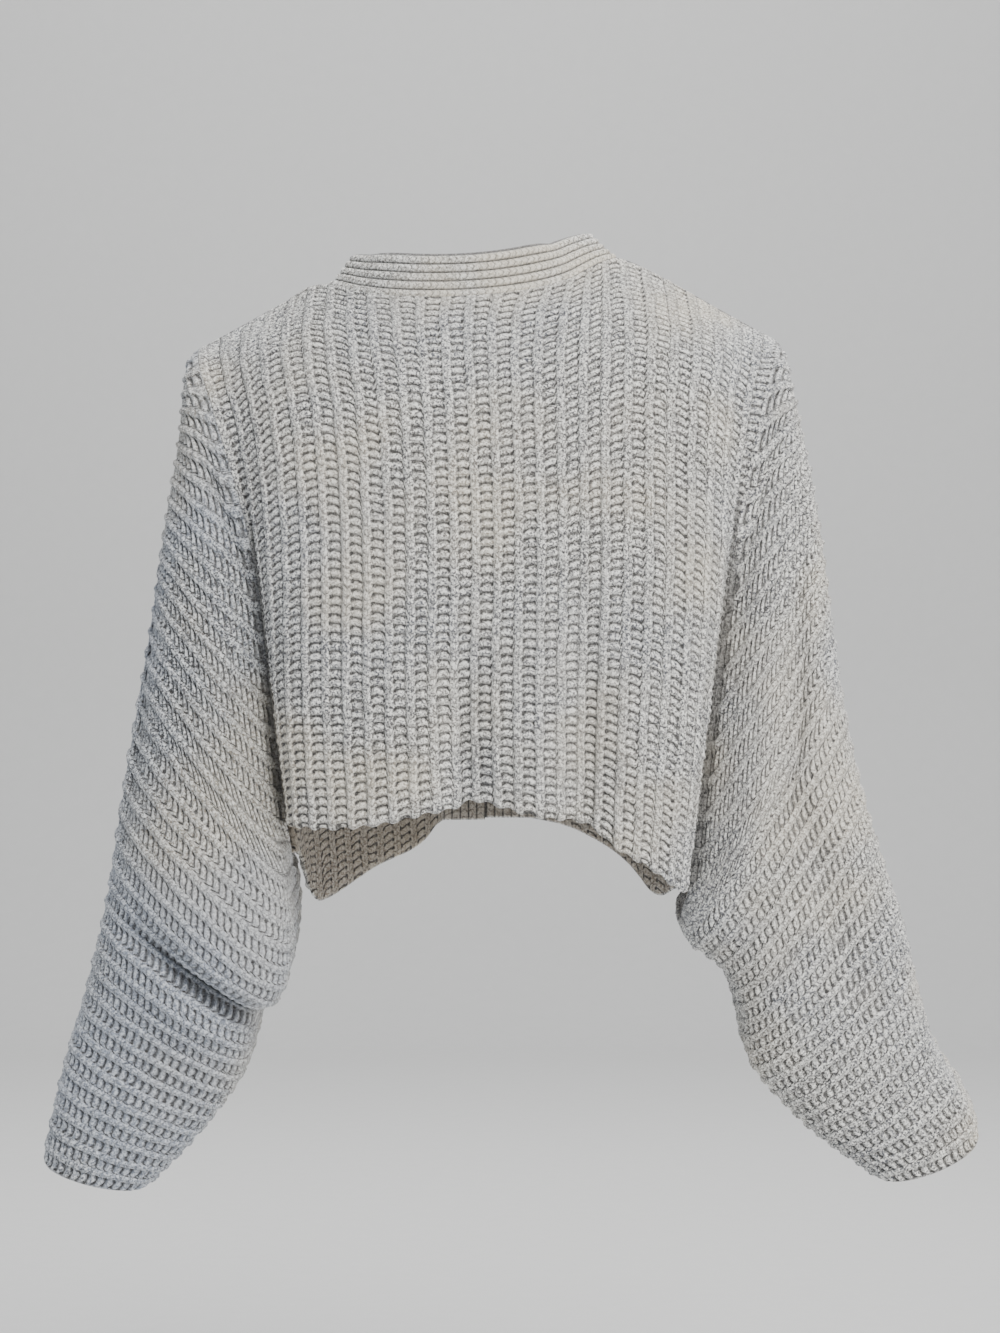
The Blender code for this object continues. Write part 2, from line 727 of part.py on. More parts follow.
def make_sleeve(name, side, rows, seams, across):
    """Batwing sleeve: ribs that run round it, open along the armhole and closed below."""
    closing = ARMHOLE_RIBS + CLOSING_RIBS
    open_rows = slice(1, ARMHOLE_RIBS + 1)
    rows[closing:, -1] = rows[closing:, 0]
    normals = unit(np.cross(np.gradient(rows, axis=1), np.gradient(rows, axis=0)))
    normals *= np.sign(normals[closing, SLEEVE_BACK_COLUMNS, 0] * side)
    joined = unit(normals[closing:, 0] + normals[closing:, -1])
    normals[closing:, 0] = joined
    normals[closing:, -1] = joined
    normals[:ARMHOLE_RIBS + 1, 0] = seams[0]
    normals[:ARMHOLE_RIBS + 1, -1] = seams[1]
    normals[0] = seams[0][0]
    rows[open_rows, 0] = pull_back(rows[open_rows, 0], rows[open_rows, 1])
    rows[open_rows, -1] = pull_back(rows[open_rows, -1], rows[open_rows, -2])
    rows[0] = rows[0] + across[0] * SEAM_GAP
    fine = with_crests(rows, 0)
    fine_normals = unit(with_crests(normals, 0))
    fade = np.ones(fine.shape[:2])
    fade[:2 * closing, [0, -1]] = 0.0
    height = rib_heights(rows, fine, 0, fade)
    outer = fine + fine_normals * (HALF_WALL + height)[:, :, None]
    inner = fine - fine_normals * HALF_WALL
    inner_rows = list(range(0, fine.shape[0], SLEEVE_INNER_STEP))
    inner_columns = list(range(fine.shape[1]))
    add_piece(name, wall_mesh(name, outer, inner, inner_rows, inner_columns, True, 2 * closing))


def main():
    """Make the six pieces."""
    clear_scene()
    back, fronts, places, (neck_left, neck_right) = body_pieces()
    across = ways_across()
    edges = {LEFT: (back[:, 0], fronts[LEFT][:, 0]), RIGHT: (back[:, -1], fronts[RIGHT][:, 0])}
    seams = {side: (armhole_seam(edges[side][0], across[side], -1.0),
                    armhole_seam(edges[side][1], across[side], 1.0)) for side in (LEFT, RIGHT)}
    back_normals = grid_normals(back, -TOWARD_FRONT)
    back_normals[:, 0] = seams[LEFT][0]
    back_normals[:, -1] = seams[RIGHT][0]
    top_normals = shoulder_normals(back[0])
    back_normals[0, :neck_left + 1] = top_normals[:neck_left + 1]
    back_normals[0, neck_right:] = top_normals[neck_right:]
    front_normals = {}
    for side, grid in fronts.items():
        front_normals[side] = grid_normals(grid, TOWARD_FRONT)
        front_normals[side][:, 0] = seams[side][1]
        front_normals[side][0] = shoulder_normals(grid[0])

    # Normals shared at the neck's seam
    neck = slice(neck_left + 1, neck_right)
    path = np.concatenate([fronts[LEFT][::-1, -1], back[0, neck], fronts[RIGHT][:, -1]])
    path_normals = np.concatenate([front_normals[LEFT][::-1, -1], back_normals[0, neck],
                                   front_normals[RIGHT][:, -1]])
    way, band_normals = band_ways(path, path_normals)
    shared = unit(band_normals + path_normals)
    rows = ARMHOLE_RIBS + 1
    front_normals[LEFT][:, -1] = shared[:rows][::-1]
    front_normals[RIGHT][:, -1] = shared[-rows:]
    back_normals[0, neck_left:neck_right + 1] = shared[rows - 1:len(path) - rows + 1]
    for side, place in places.items():
        front_normals[side][0] = unit(between_columns(back_normals[0], place))

    make_neckband(path, way, band_normals, shared)
    make_panel("back", back, back_normals)
    make_panel("front_left", fronts[LEFT], front_normals[LEFT])
    make_panel("front_right", fronts[RIGHT], front_normals[RIGHT])
    left_rows = sleeve_rows(ARM_LINE_LEFT, UNDER_LINE_LEFT, SLEEVE_LEFT_GIRTH, SLEEVE_LEFT_FOLDS, edges[LEFT])
    make_sleeve("sleeve_left", LEFT, left_rows, seams[LEFT], across[LEFT])
    right_rows = sleeve_rows(ARM_LINE_RIGHT, UNDER_LINE_RIGHT, SLEEVE_RIGHT_GIRTH, SLEEVE_RIGHT_FOLDS,
                             edges[RIGHT])
    make_sleeve("sleeve_right", RIGHT, right_rows, seams[RIGHT], across[RIGHT])


main()
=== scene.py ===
"""Cropped batwing cardigan in ribbed crochet: its stitches, wool, light and camera.

Sizes in the tables are millimetres in the garment's own frame, with +Z up and +Y toward the
wearer's front, and the meshes are made in metres.
"""

import logging
import math
from dataclasses import dataclass, field, replace
from enum import Enum
from typing import Any, Callable, Sequence

import bmesh
import bpy
import numpy as np
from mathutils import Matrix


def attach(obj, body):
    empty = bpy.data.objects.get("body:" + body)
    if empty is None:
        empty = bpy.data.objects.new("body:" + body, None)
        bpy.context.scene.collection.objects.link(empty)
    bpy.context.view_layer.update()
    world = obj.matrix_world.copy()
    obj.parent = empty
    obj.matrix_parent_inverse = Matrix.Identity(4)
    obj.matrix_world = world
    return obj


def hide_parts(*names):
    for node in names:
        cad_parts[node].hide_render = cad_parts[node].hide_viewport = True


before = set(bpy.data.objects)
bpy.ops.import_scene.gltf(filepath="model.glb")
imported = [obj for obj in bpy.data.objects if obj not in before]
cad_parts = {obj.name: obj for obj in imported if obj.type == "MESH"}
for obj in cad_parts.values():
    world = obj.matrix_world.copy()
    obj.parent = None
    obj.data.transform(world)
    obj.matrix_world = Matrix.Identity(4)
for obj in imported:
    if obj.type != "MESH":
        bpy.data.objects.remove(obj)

LOG = logging.getLogger("cardigan")
MM = 0.001
TURN = 2.0 * math.pi
BODY = "root"
# Mark that the inner skin carries in the painted-shade attribute, for the warm brown shade painted on it.
INSIDE_MARK = -1.0
SLIGHT = 1e-6
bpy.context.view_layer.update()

Grid = np.ndarray
Table = Sequence[Sequence[float]]
Place = tuple[float, float, float]
Colour = tuple[float, float, float, float]
Step = tuple[float, float]


class Side(Enum):
    """Side of the wearer that shows at the left or the right of the picture."""

    LEFT = -1
    RIGHT = 1


class Face(Enum):
    """Half of a sleeve or of the body."""

    BACK = -1
    FRONT = 1


class Pattern(Enum):
    """Stitch pattern that a piece of wool shows."""

    LADDER = "ladder"
    CORDS = "cords"


def round_corners(points: Any, rounds: int = 5) -> Grid:
    """Round a control polygon by cutting its corners, both ends kept.

    Args:
        points: control points, one a row.
        rounds: how often the corners are cut.

    Returns:
        The points of the rounded curve.
    """
    points = np.asarray(points, dtype=float)
    for _ in range(rounds):
        near = 0.75 * points[:-1] + 0.25 * points[1:]
        far = 0.25 * points[:-1] + 0.75 * points[1:]
        cut = np.stack([near, far], axis=1).reshape((-1,) + points.shape[1:])
        points = np.concatenate([points[:1], cut, points[-1:]])
    return points


def lengths_along(points: Grid, axis: int = 0) -> Grid:
    """Length from the first point to each point along an axis of a grid.

    Args:
        points: a grid whose last axis holds x, y and z.
        axis: the axis to follow.

    Returns:
        The running lengths, with the grid's shape without its last axis.
    """
    steps = np.linalg.norm(np.diff(points, axis=axis), axis=-1)
    start = np.zeros_like(np.take(steps, [0], axis=axis))
    return np.concatenate([start, np.cumsum(steps, axis=axis)], axis=axis)


def at_shares(curve: Grid, shares: Any) -> Grid:
    """Points of a curve at shares of its length.

    Args:
        curve: points of the curve.
        shares: shares from 0 to 1.

    Returns:
        One point for each share.
    """
    along = lengths_along(curve)
    wanted = np.asarray(shares) * along[-1]
    return np.stack([np.interp(wanted, along, curve[:, axis]) for axis in range(3)], axis=1)


def profile(pairs: Any, where: Any) -> Any:
    """Smooth value at a place, read from rows of place and value."""
    curve = round_corners(pairs)
    return np.interp(where, curve[:, 0], curve[:, 1])


def shares_of(count: int) -> Grid:
    """Even shares from 0 to 1, both ends included."""
    return np.linspace(0.0, 1.0, count)


def ease(value: Any) -> Any:
    """Soft step from 0 to 1."""
    value = np.clip(value, 0.0, 1.0)
    return value * value * (3.0 - 2.0 * value)


def unit(vectors: Any) -> Grid:
    """Vectors scaled to length 1."""
    vectors = np.asarray(vectors, dtype=float)
    return vectors / np.maximum(np.linalg.norm(vectors, axis=-1, keepdims=True), 1e-9)


def grid_normals(grid: Grid) -> Grid:
    """Normals of a grid from the differences of its neighbours."""
    return unit(np.cross(np.gradient(grid, axis=1), np.gradient(grid, axis=0)))


def facing(grid: Grid, way: int) -> Grid:
    """Normals of a grid whose middle looks forward (1) or back (-1) along Y."""
    normals = grid_normals(grid)
    return normals * np.sign(way * normals[grid.shape[0] // 2, grid.shape[1] // 2, 1])


def uneven_stitches(chance: np.random.Generator, lines: Grid, phase: Grid, size: tuple[int, int]) -> Grid:
    """How much each point's stitch is fuller or thinner than the rest.

    Args:
        chance: the source of the unevenness.
        lines: rib or ridge number of each point.
        phase: place along it, in stitches.
        size: how many ribs and stitches there are.

    Returns:
        The unevenness, 0 on average.
    """
    uneven = chance.normal(0.0, 1.0, size)
    count = np.floor(phase - phase.min()).astype(int)
    share_on = ease(phase - np.floor(phase))
    return uneven[lines, count] * (1 - share_on) + uneven[lines, count + 1] * share_on


@dataclass(frozen=True)
class Crochet:
    """Ribbed crochet: a braided ridge beside a ladder of arched bars.

    Lengths are millimetres. The shares of a rib say where its ridge and its ladder lie.
    """

    stitch: float = 6.6
    ridge_share: float = 0.22
    ridge_half: float = 0.21
    ridge_height: float = 2.2
    ridge_round: float = 0.7
    braid_height: float = 0.7
    braid_slant: float = 0.42
    groove_depth: float = 0.5
    groove_half: float = 0.045
    ladder_share: float = 0.71
    ladder_half: float = 0.30
    ladder_edge: float = 4.0
    ladder_sunk: float = 0.8
    bar_height: float = 0.8
    bar_round: float = 0.75
    bar_arch: float = -0.20
    gap_depth: float = 1.5
    hole_depth: float = 0.9
    hole_place: float = 0.72
    hole_half: float = 0.2
    uneven: float = 0.32
    ladder_uneven: float = 0.4
    wander: float = 0.03
    wander_stitches: float = 0.9
    wander_ribs: float = 2.1
    wander_lumps: float = 0.012
    seam_height: float = 0.8
    inside_height: float = 1.3

    def relief(self, ribs: Grid, stitches: Grid, seed: int) -> tuple[Grid, Grid]:
        """Height of the crochet over its middle skin, and where each point lies in its pattern.

        Args:
            ribs: rib number and share of each point.
            stitches: place along the rib, counted in stitches.
            seed: which set of uneven stitches.

        Returns:
            The height in millimetres, and the rib place, stitch place and unevenness.
        """
        chance = np.random.default_rng(seed)
        rib = np.floor(ribs).astype(int)
        rib = rib - rib.min()
        phase = stitches + chance.random(rib.max() + 2)[rib]
        last = int(phase.max() - phase.min()) + 3
        lump = uneven_stitches(chance, rib, phase, (rib.max() + 2, last))
        sway = self.wander * np.sin(self.wander_stitches * phase + self.wander_ribs * rib)
        sway = sway + self.wander_lumps * lump
        across = ribs - np.floor(ribs) + sway

        beside_ridge = np.abs(across - self.ridge_share)
        beside_ridge = np.minimum(beside_ridge, np.abs(across - 1.0 - self.ridge_share))
        ridge = np.cos(0.25 * TURN * np.clip(beside_ridge / self.ridge_half, 0.0, 1.0)) ** self.ridge_round
        braid = np.cos(TURN * (phase - self.braid_slant * beside_ridge / self.ridge_half))
        groove = np.exp(-((beside_ridge / self.groove_half) ** 2))
        height = self.ridge_height * ridge + self.braid_height * braid * ridge - self.groove_depth * groove

        beside_ladder = (across - self.ladder_share) / self.ladder_half
        inside = ease((1.0 - np.abs(beside_ladder)) * self.ladder_edge)
        bar = (0.5 + 0.5 * np.cos(TURN * (phase + self.bar_arch * beside_ladder ** 2))) ** self.bar_round
        ladder = self.bar_height * bar - self.gap_depth * (1.0 - bar)
        hole = np.exp(-(((np.abs(beside_ladder) - self.hole_place) / self.hole_half) ** 2))
        ladder -= self.hole_depth * hole * (1.0 - bar)
        own = self.uneven * lump * (self.ladder_uneven + (1.0 - self.ladder_uneven) * ridge)
        height += ladder * inside * (1.0 - self.ladder_sunk * ridge) + own
        return height, np.stack([ribs + sway, phase, lump], axis=-1)

    def along_ribs(self, lengths: Grid, ribs: Grid) -> Grid:
        """Stitch counts that agree across each rib.

        Args:
            lengths: running length of each row down its columns.
            ribs: rib number and share of each column.

        Returns:
            The place along the rib in stitches.
        """
        middle = np.floor(np.clip(ribs, 0.0, ribs.max() - SLIGHT)) + self.ladder_share
        columns = np.argmin(np.abs(ribs[None, :] - middle[:, None]), axis=1)
        return lengths[:, columns] / self.stitch

    def held(self, relief: Grid, hold: Grid) -> Grid:
        """Height that runs out to the seam's own level where the hold is 0."""
        return self.seam_height * (1.0 - hold) + relief * hold

    def inside_relief(self, ribs: Grid) -> Grid:
        """Height of the low ribs on the inner face."""
        across = ribs - np.floor(ribs)
        return self.inside_height * (0.5 + 0.5 * np.cos(TURN * (across - self.ladder_share)))


@dataclass(frozen=True)
class BandStitch:
    """Lengthwise ridges of the neckband. Lengths are millimetres."""

    stitch: float = 5.6
    ridge_height: float = 2.3
    knot_height: float = 0.5
    slant: float = 0.35
    uneven: float = 0.25
    groove: float = 0.9
    top_round: float = 0.7

    def relief(self, ridges: Grid, stitches: Grid, seed: int) -> tuple[Grid, Grid]:
        """Height of the band's ridges over its middle skin, and each point's place in them.

        Args:
            ridges: ridge number and share of each point.
            stitches: place along the band, counted in stitches.
            seed: which set of uneven stitches.

        Returns:
            The height in millimetres, and the ridge place, stitch place and unevenness.
        """
        chance = np.random.default_rng(seed)
        ridge = np.clip(np.floor(ridges).astype(int), 0, None)
        phase = stitches + chance.random(ridge.max() + 1)[ridge]
        last = int(np.floor(phase.max() - phase.min())) + 2
        lump = uneven_stitches(chance, ridge, phase, (ridge.max() + 1, last))
        across = ridges - np.floor(ridges)
        round_top = np.sin(0.5 * TURN * np.clip(across, 0.0, 1.0)) ** self.top_round
        knot = np.cos(TURN * (phase + self.slant * (across - 0.5)))
        height = (self.ridge_height + self.knot_height * knot + self.uneven * lump) * round_top - self.groove
        return height, np.stack([ridges, phase, lump], axis=-1)


@dataclass
class Shell:
    """Closed wall of one knitted piece, with a stitched outer skin and a plainer inner skin."""

    name: str
    outer: Grid
    inner: Grid
    middle: Grid
    stitch_place: Grid
    # Painted shade of each point: darker between the yarns and in the folds.
    hollow: Grid
    row_step: int
    column_step: int
    pole: bool = False
    closed_from: int | None = None
    rounded: tuple[str, ...] = ("last_row",)
    rim_bulge: float = 1.8
    points: list[Grid] = field(default_factory=list)
    places: list[Grid] = field(default_factory=list)
    hollows: list[Grid] = field(default_factory=list)

    @staticmethod
    def kept(size: int, step: int) -> Grid:
        """Numbers of the rows or columns that the inner skin keeps."""
        numbers = np.arange(0, size, step)
        return numbers if numbers[-1] == size - 1 else np.append(numbers, size - 1)

    def add(self, points: Grid, places: Grid, hollows: Grid) -> Grid:
        """Add points.

        Args:
            points: the points.
            places: their stitch places.
            hollows: their painted shades.

        Returns:
            Their vertex numbers, in the shape of the shades.
        """
        numbers = sum(map(len, self.points)) + np.arange(hollows.size).reshape(hollows.shape)
        self.points.append(points.reshape(-1, 3))
        self.places.append(places.reshape(-1, 3))
        self.hollows.append(hollows.ravel())
        return numbers

    def skin(self, grid: Grid, rows: Grid, columns: Grid, deep: bool) -> Grid:
        """Add the points of a skin, with joined points shared.

        Args:
            grid: points, rows by columns.
            rows: which of its rows are kept.
            columns: which of its columns are kept.
            deep: whether the skin is the inner one.

        Returns:
            Vertex numbers, kept rows by kept columns.
        """
        at = np.ix_(rows, columns)
        # The inner skin carries the mark of its painted brown shade, the outer skin its painted shade.
        hollow = np.full_like(self.hollow[at], INSIDE_MARK) if deep else self.hollow[at]
        numbers = self.add(grid[at], self.stitch_place[at], hollow)
        if self.pole:
            numbers[0] = numbers[0, 0]
        if self.closed_from is not None:
            closed = rows >= self.closed_from
            numbers[closed, -1] = numbers[closed, 0]
        return numbers

    @staticmethod
    def quads(numbers: Grid) -> Grid:
        """Faces of a grid of vertex numbers, four corners each."""
        corners = [numbers[:-1, :-1], numbers[1:, :-1], numbers[1:, 1:], numbers[:-1, 1:]]
        return np.stack(corners, axis=-1).reshape(-1, 4)

    @staticmethod
    def zipped(fine: Grid, coarse: Grid, places: Grid) -> list[tuple[int, int, int]]:
        """Triangles between a fine edge and a coarse edge.

        Args:
            fine: vertex numbers of the fine edge.
            coarse: vertex numbers of the coarse edge.
            places: where each coarse point stands on the fine edge.

        Returns:
            The triangles.
        """
        faces = []
        for number in range(len(coarse) - 1):
            first, last = int(places[number]), int(places[number + 1])
            half = (first + last) // 2
            faces += [(coarse[number], fine[step], fine[step + 1]) for step in range(first, half)]
            faces.append((coarse[number], fine[half], coarse[number + 1]))
            faces += [(coarse[number + 1], fine[step], fine[step + 1]) for step in range(half, last)]
        return faces

    def rounded_rim(self, at: Any, past: Any, numbers: Grid) -> Grid:
        """Add the swollen line at a free edge.

        Args:
            at: where the edge lies in the grids.
            past: where the next row or column lies.
            numbers: vertex numbers of the outer skin along the edge.

        Returns:
            Vertex numbers of the swollen line.
        """
        line = self.middle[at] + unit(self.middle[at] - self.middle[past]) * self.rim_bulge
        fresh = self.add(line, self.stitch_place[at], self.hollow[at])
        shared = numbers[:-1] == numbers[-1]
        if self.closed_from is not None and shared.any():
            fresh[-1] = fresh[0]
        return fresh

    def build(self) -> bpy.types.Object:
        """Make the mesh object, with its stitch places and its painted shade as attributes."""
        rows = np.arange(self.outer.shape[0])
        columns = np.arange(self.outer.shape[1])
        kept_rows = self.kept(len(rows), self.row_step)
        kept_columns = self.kept(len(columns), self.column_step)
        outer = self.skin(self.outer, rows, columns, False)
        inner = self.skin(self.inner, kept_rows, kept_columns, True)
        quads = [self.quads(outer), self.quads(inner)]
        triangles: list[tuple[int, int, int]] = []
        open_rows = kept_rows if self.closed_from is None else kept_rows[kept_rows <= self.closed_from]
        edges = {
            "first_column": (np.s_[:, 0], np.s_[:, 1], open_rows),
            "last_column": (np.s_[:, -1], np.s_[:, -2], open_rows),
            "first_row": (np.s_[0], np.s_[1], kept_columns),
            "last_row": (np.s_[-1], np.s_[-2], kept_columns),
        }
        if self.pole:
            edges.pop("first_row")
        for name, (at, past, places) in edges.items():
            fine, coarse = outer[at], inner[at][:len(places)]
            if name in self.rounded:
                fresh = self.rounded_rim(at, past, fine)
                quads.append(self.quads(np.stack([fine, fresh])))
                if fresh[0] != fresh[-1]:
                    triangles += [(fine[end], fresh[end], coarse[end]) for end in (0, -1)]
                fine = fresh
            triangles += self.zipped(fine, coarse, places)
        return self.mesh_object(np.concatenate(quads), triangles)

    def mesh_object(self, quads: Grid, triangles: list[tuple[int, int, int]]) -> bpy.types.Object:
        """Make the object from its faces, wound outward.

        Args:
            quads: four corners a row, some of them shared.
            triangles: three corners each.

        Returns:
            The object, linked to the scene.
        """
        points = np.concatenate(self.points) * MM
        faces = [list(dict.fromkeys(face)) for face in quads.tolist()]
        faces = [face for face in faces if len(face) > 2]
        faces += [face for face in triangles if len(set(face)) == 3]
        mesh = bpy.data.meshes.new(self.name)
        mesh.from_pydata(points.tolist(), [], [[int(n) for n in face] for face in faces])
        place = mesh.attributes.new("stitch_place", "FLOAT_VECTOR", "POINT")
        place.data.foreach_set("vector", np.concatenate(self.places).astype(np.float32).ravel())
        # The painted shade is stored on the mesh for the wool to read.
        hollow = mesh.attributes.new("hollow", "FLOAT", "POINT")
        hollow.data.foreach_set("value", np.concatenate(self.hollows).astype(np.float32))
        body = bmesh.new()
        body.from_mesh(mesh)
        loose = [vertex for vertex in body.verts if not vertex.link_faces]
        bmesh.ops.delete(body, geom=loose, context="VERTS")
        bmesh.ops.recalc_face_normals(body, faces=body.faces)
        body.to_mesh(mesh)
        body.free()
        mesh.shade_smooth()
        piece = bpy.data.objects.new(self.name, mesh)
        bpy.context.scene.collection.objects.link(piece)
        return piece


@dataclass(frozen=True)
class Cloth:
    """Sizes that every knitted piece shares, in millimetres."""

    half_wall: float = 1.6
    fold_turn: float = 6.0
    fold_full: float = 25.0
    back_ribs: int = 26
    sleeve_ribs: int = 40
    armhole_ribs: int = 17
    closing_ribs: int = 3
    rib: float = 15.0
    shade_top: float = 0.9
    shade_depth: float = 2.6
    crochet: Crochet = Crochet()
    band_stitch: BandStitch = BandStitch()

    def shade(self, relief: Grid) -> Grid:
        """Painted shade between the yarns: how far each point lies down between them, from 0 to 1."""
        return np.clip((self.shade_top - relief) / self.shade_depth, 0.0, 1.0)

    def skins(self, grid: Grid, normals: Grid, relief: Grid, inside: Grid) -> tuple[Grid, Grid, Grid]:
        """Outer, inner and middle skin, from the reliefs over the outer and the inner face."""
        outer = grid + normals * (self.half_wall + relief)[:, :, None]
        return outer, grid - normals * (self.half_wall + inside)[:, :, None], grid

    @staticmethod
    def finish(piece: bpy.types.Object, node: str, size: tuple[float, float], rests_on: str,
               area_share: float | None = None) -> bpy.types.Object:
        """Tie a piece to its body and hide the solid that it stands for.

        Args:
            piece: the piece.
            node: the solid that it stands for.
            size: width and length of the cut in millimetres; not used.
            rests_on: what carries it; not used.
            area_share: share of that rectangle that the cut keeps, where it isn't all; not used.

        Returns:
            The piece.
        """
        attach(piece, BODY)
        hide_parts(node)
        return piece


@dataclass
class Body:
    """Middle surfaces of the back and the fronts."""

    cloth: Cloth
    back_levels: Table = (
        # left_x, left_z, right_x, right_z, edge_y, fold, middle_z, middle_y
        (-214, -60, 217, -52, -50, 0, -34, -84),
        (-193, -116, 202, -100, -82, 4, -95, -116),
        (-162, -208, 177, -198, -99, 26, -200, -132),
        (-153, -303, 163, -311, -101, 38, -300, -129),
        (-141.5, -401, 146, -449, -99, 44, -392, -121),
    )
    front_levels: Table = (
        # left_x, left_z, right_x, right_z, edge_y, fold, middle_y, band_left_x, band_right_x, band_y, band_z
        (-215, -60, 218, -52, 40, 0, 36, -120, 103, 30, -5),
        (-200, -120, 208, -108, 68, 2, 88, -104, 92, 82, -72),
        (-172, -220, 184, -212, 82, 14, 108, -70, 64, 108, -165),
        (-158, -316, 168, -322, 84, 22, 116, -33.6, 33.6, 120, -262),
        (-146, -429, 151, -457, 80, 26, 114, -33.6, 33.6, 121, -400),
    )
    shoulder_line: Table = (
        # x, y, z
        (-216.6, 0, -47), (-187, 0, -31),
        (-146, 0, -8), (-126, -12, 4),
        (-84, -52, -12), (-10, -68, -15),
        (56, -54, -4), (88, -24, 18),
        (106, 0, 24), (188, 0, -23),
        (220.4, 0, -40.3),
    )
    neck_side_left_x: float = -118.0
    neck_side_right_x: float = 99.0
    back_hem: Table = (
        # x, z
        (-142, -400.5), (-114, -403), (-72, -398.5), (-40, -390), (-22, -388),
        (-10, -380), (10, -385), (41, -394), (66, -395.5), (79, -400), (94, -416),
        (122, -431), (138, -445), (146, -449.5),
    )
    front_hem: Table = (
        # x, z
        (-146, -430), (-136, -471), (-121, -466), (-98, -450), (-84, -441),
        (-50, -427), (-36, -404), (0, -401), (60, -408), (96, -426),
        (116, -442), (134, -468), (151, -458),
    )
    back_folds: Table = (
        # x, half_width, depth, start_share
        (-15, 15, 9, 0.52), (73, 17, 11, 0.36),
        (-62, 26, -4, 0.45), (30, 24, -4, 0.5),
    )
    face_depth_y: float = -99.0
    corner_share: float = 0.24
    bend_reach: float = 6.0
    back_lip: tuple[float, float] = (24.0, 4.0)
    front_lip: tuple[float, float] = (22.0, 3.0)
    back_shape: Table = (
        # share_across, share_out, share_of_rise
        (0.24, 0.72, 0.4), (0.62, 1, 0.8),
    )
    chest_shape: tuple[float, float, float] = (0.4, 0.8, 0.4)
    bust_share: float = 0.75
    slope_until: float = 0.25
    # Painted shade in the deep folds beside the arms: its reach from the seam, its darkness at the left and
    # the right, and the armhole shares where it starts and grows full.
    fold_reach: float = 24.0
    fold_darkness: tuple[float, float] = (0.9, 1.7)
    fold_from: float = 0.25
    fold_over: float = 0.3

    def back(self, column_shares: Grid, row_shares: Grid) -> Grid:
        """Middle surface of the back, rows from the shoulders down, columns left to right.

        Args:
            column_shares: shares of each row's length.
            row_shares: shares of each column's length.

        Returns:
            The grid of points.
        """
        rows = [at_shares(round_corners(self.shoulder_line), column_shares)]
        rows += [at_shares(round_corners(self.level_polygon(level)), column_shares)
                 for level in self.back_levels]
        grid = self.hang(np.array(rows), row_shares)
        self.trim(grid, self.back_hem, row_shares, 1.0)
        down = np.asarray(row_shares)[:, None]
        for fold_x, half_width, depth, start in self.back_folds:
            reach = ease((down - start) / (1.0 - start))
            across = np.exp(-((grid[:, :, 0] - fold_x) / half_width) ** 2)
            grid[:, :, 1] += depth * reach * across * (grid[:, :, 1] < self.face_depth_y)
        return grid

    def seam_points(self, edge: Place, sign: float, fold: float, face: Face,
                    lip: tuple[float, float]) -> list[Place]:
        """First three control points of a level: in the fold, round its bend and at its lip.

        Args:
            edge: where the level starts.
            sign: which way it runs, along X.
            fold: depth of the fold.
            face: back or front.
            lip: how far the lip lies in and out where there is no fold.

        Returns:
            The control points.
        """
        edge_x, edge_y, edge_z = edge
        depth = min(1.0, fold / self.cloth.fold_full)
        shallow = 1.0 - depth
        turn = self.cloth.fold_turn
        seam = (edge_x - sign * turn * depth, edge_y - face.value * fold, edge_z)
        bend = (seam[0] + sign * (turn + self.bend_reach * shallow), seam[1], edge_z)
        lip_in, lip_out = lip[0] * shallow, lip[1] * shallow
        return [seam, bend, (edge_x + sign * lip_in, edge_y + face.value * lip_out, edge_z)]

    def level_polygon(self, level: Sequence[float]) -> Grid:
        """Control polygon of one level of the back, left seam to right seam.

        Args:
            level: a row of the table of back levels.

        Returns:
            The control points.
        """
        left_x, left_z, right_x, right_z, edge_y, fold, middle_z, middle_y = level
        middle_x = 0.5 * (left_x + right_x)
        halves = []
        for edge_x, edge_z in ((left_x, left_z), (right_x, right_z)):
            inward = middle_x - edge_x
            half = self.seam_points((edge_x, edge_y, edge_z), np.sign(inward), fold, Face.BACK, self.back_lip)
            half += [(edge_x + across * inward, edge_y + out * (middle_y - edge_y),
                      edge_z + rise * (middle_z - edge_z)) for across, out, rise in self.back_shape]
            halves.append(half)
        return np.array(halves[0] + [(middle_x, middle_y, middle_z)] + halves[1][::-1])

    def neck_shares(self) -> tuple[float, float]:
        """Shares of the shoulder line at the two sides of the neck."""
        shares = shares_of(self.cloth.back_ribs + 1)
        line = at_shares(round_corners(self.shoulder_line), shares)
        left = shares[int(np.argmin(np.abs(line[:, 0] - self.neck_side_left_x)))]
        right = shares[int(np.argmin(np.abs(line[:, 0] - self.neck_side_right_x)))]
        return float(left), float(right)

    def front(self, side: Side, column_shares: Grid, row_shares: Grid) -> Grid:
        """Middle surface of one front, columns from the side seam to the band.

        Args:
            side: which front.
            column_shares: shares of each row's length.
            row_shares: shares of each column's length.

        Returns:
            The grid of points.
        """
        left_share, right_share = self.neck_shares()
        columns = np.asarray(column_shares)
        top = columns * left_share if side is Side.LEFT else 1.0 - columns * (1.0 - right_share)
        rows = [at_shares(round_corners(self.shoulder_line), top)]
        rows += [at_shares(round_corners(self.front_polygon(side, level)), columns)
                 for level in self.front_levels]
        grid = self.hang(np.array(rows), row_shares)
        self.trim(grid, self.front_hem, row_shares, ease(columns / self.corner_share))
        return grid

    @staticmethod
    def trim(grid: Grid, hem: Table, row_shares: Grid, hold: Any) -> None:
        """Bring a grid's last row to the line of the hem, and the rows above it less and less."""
        drop = (profile(hem, grid[-1, :, 0]) - grid[-1, :, 2]) * hold
        grid[:, :, 2] += drop[None, :] * np.asarray(row_shares)[:, None] ** 3

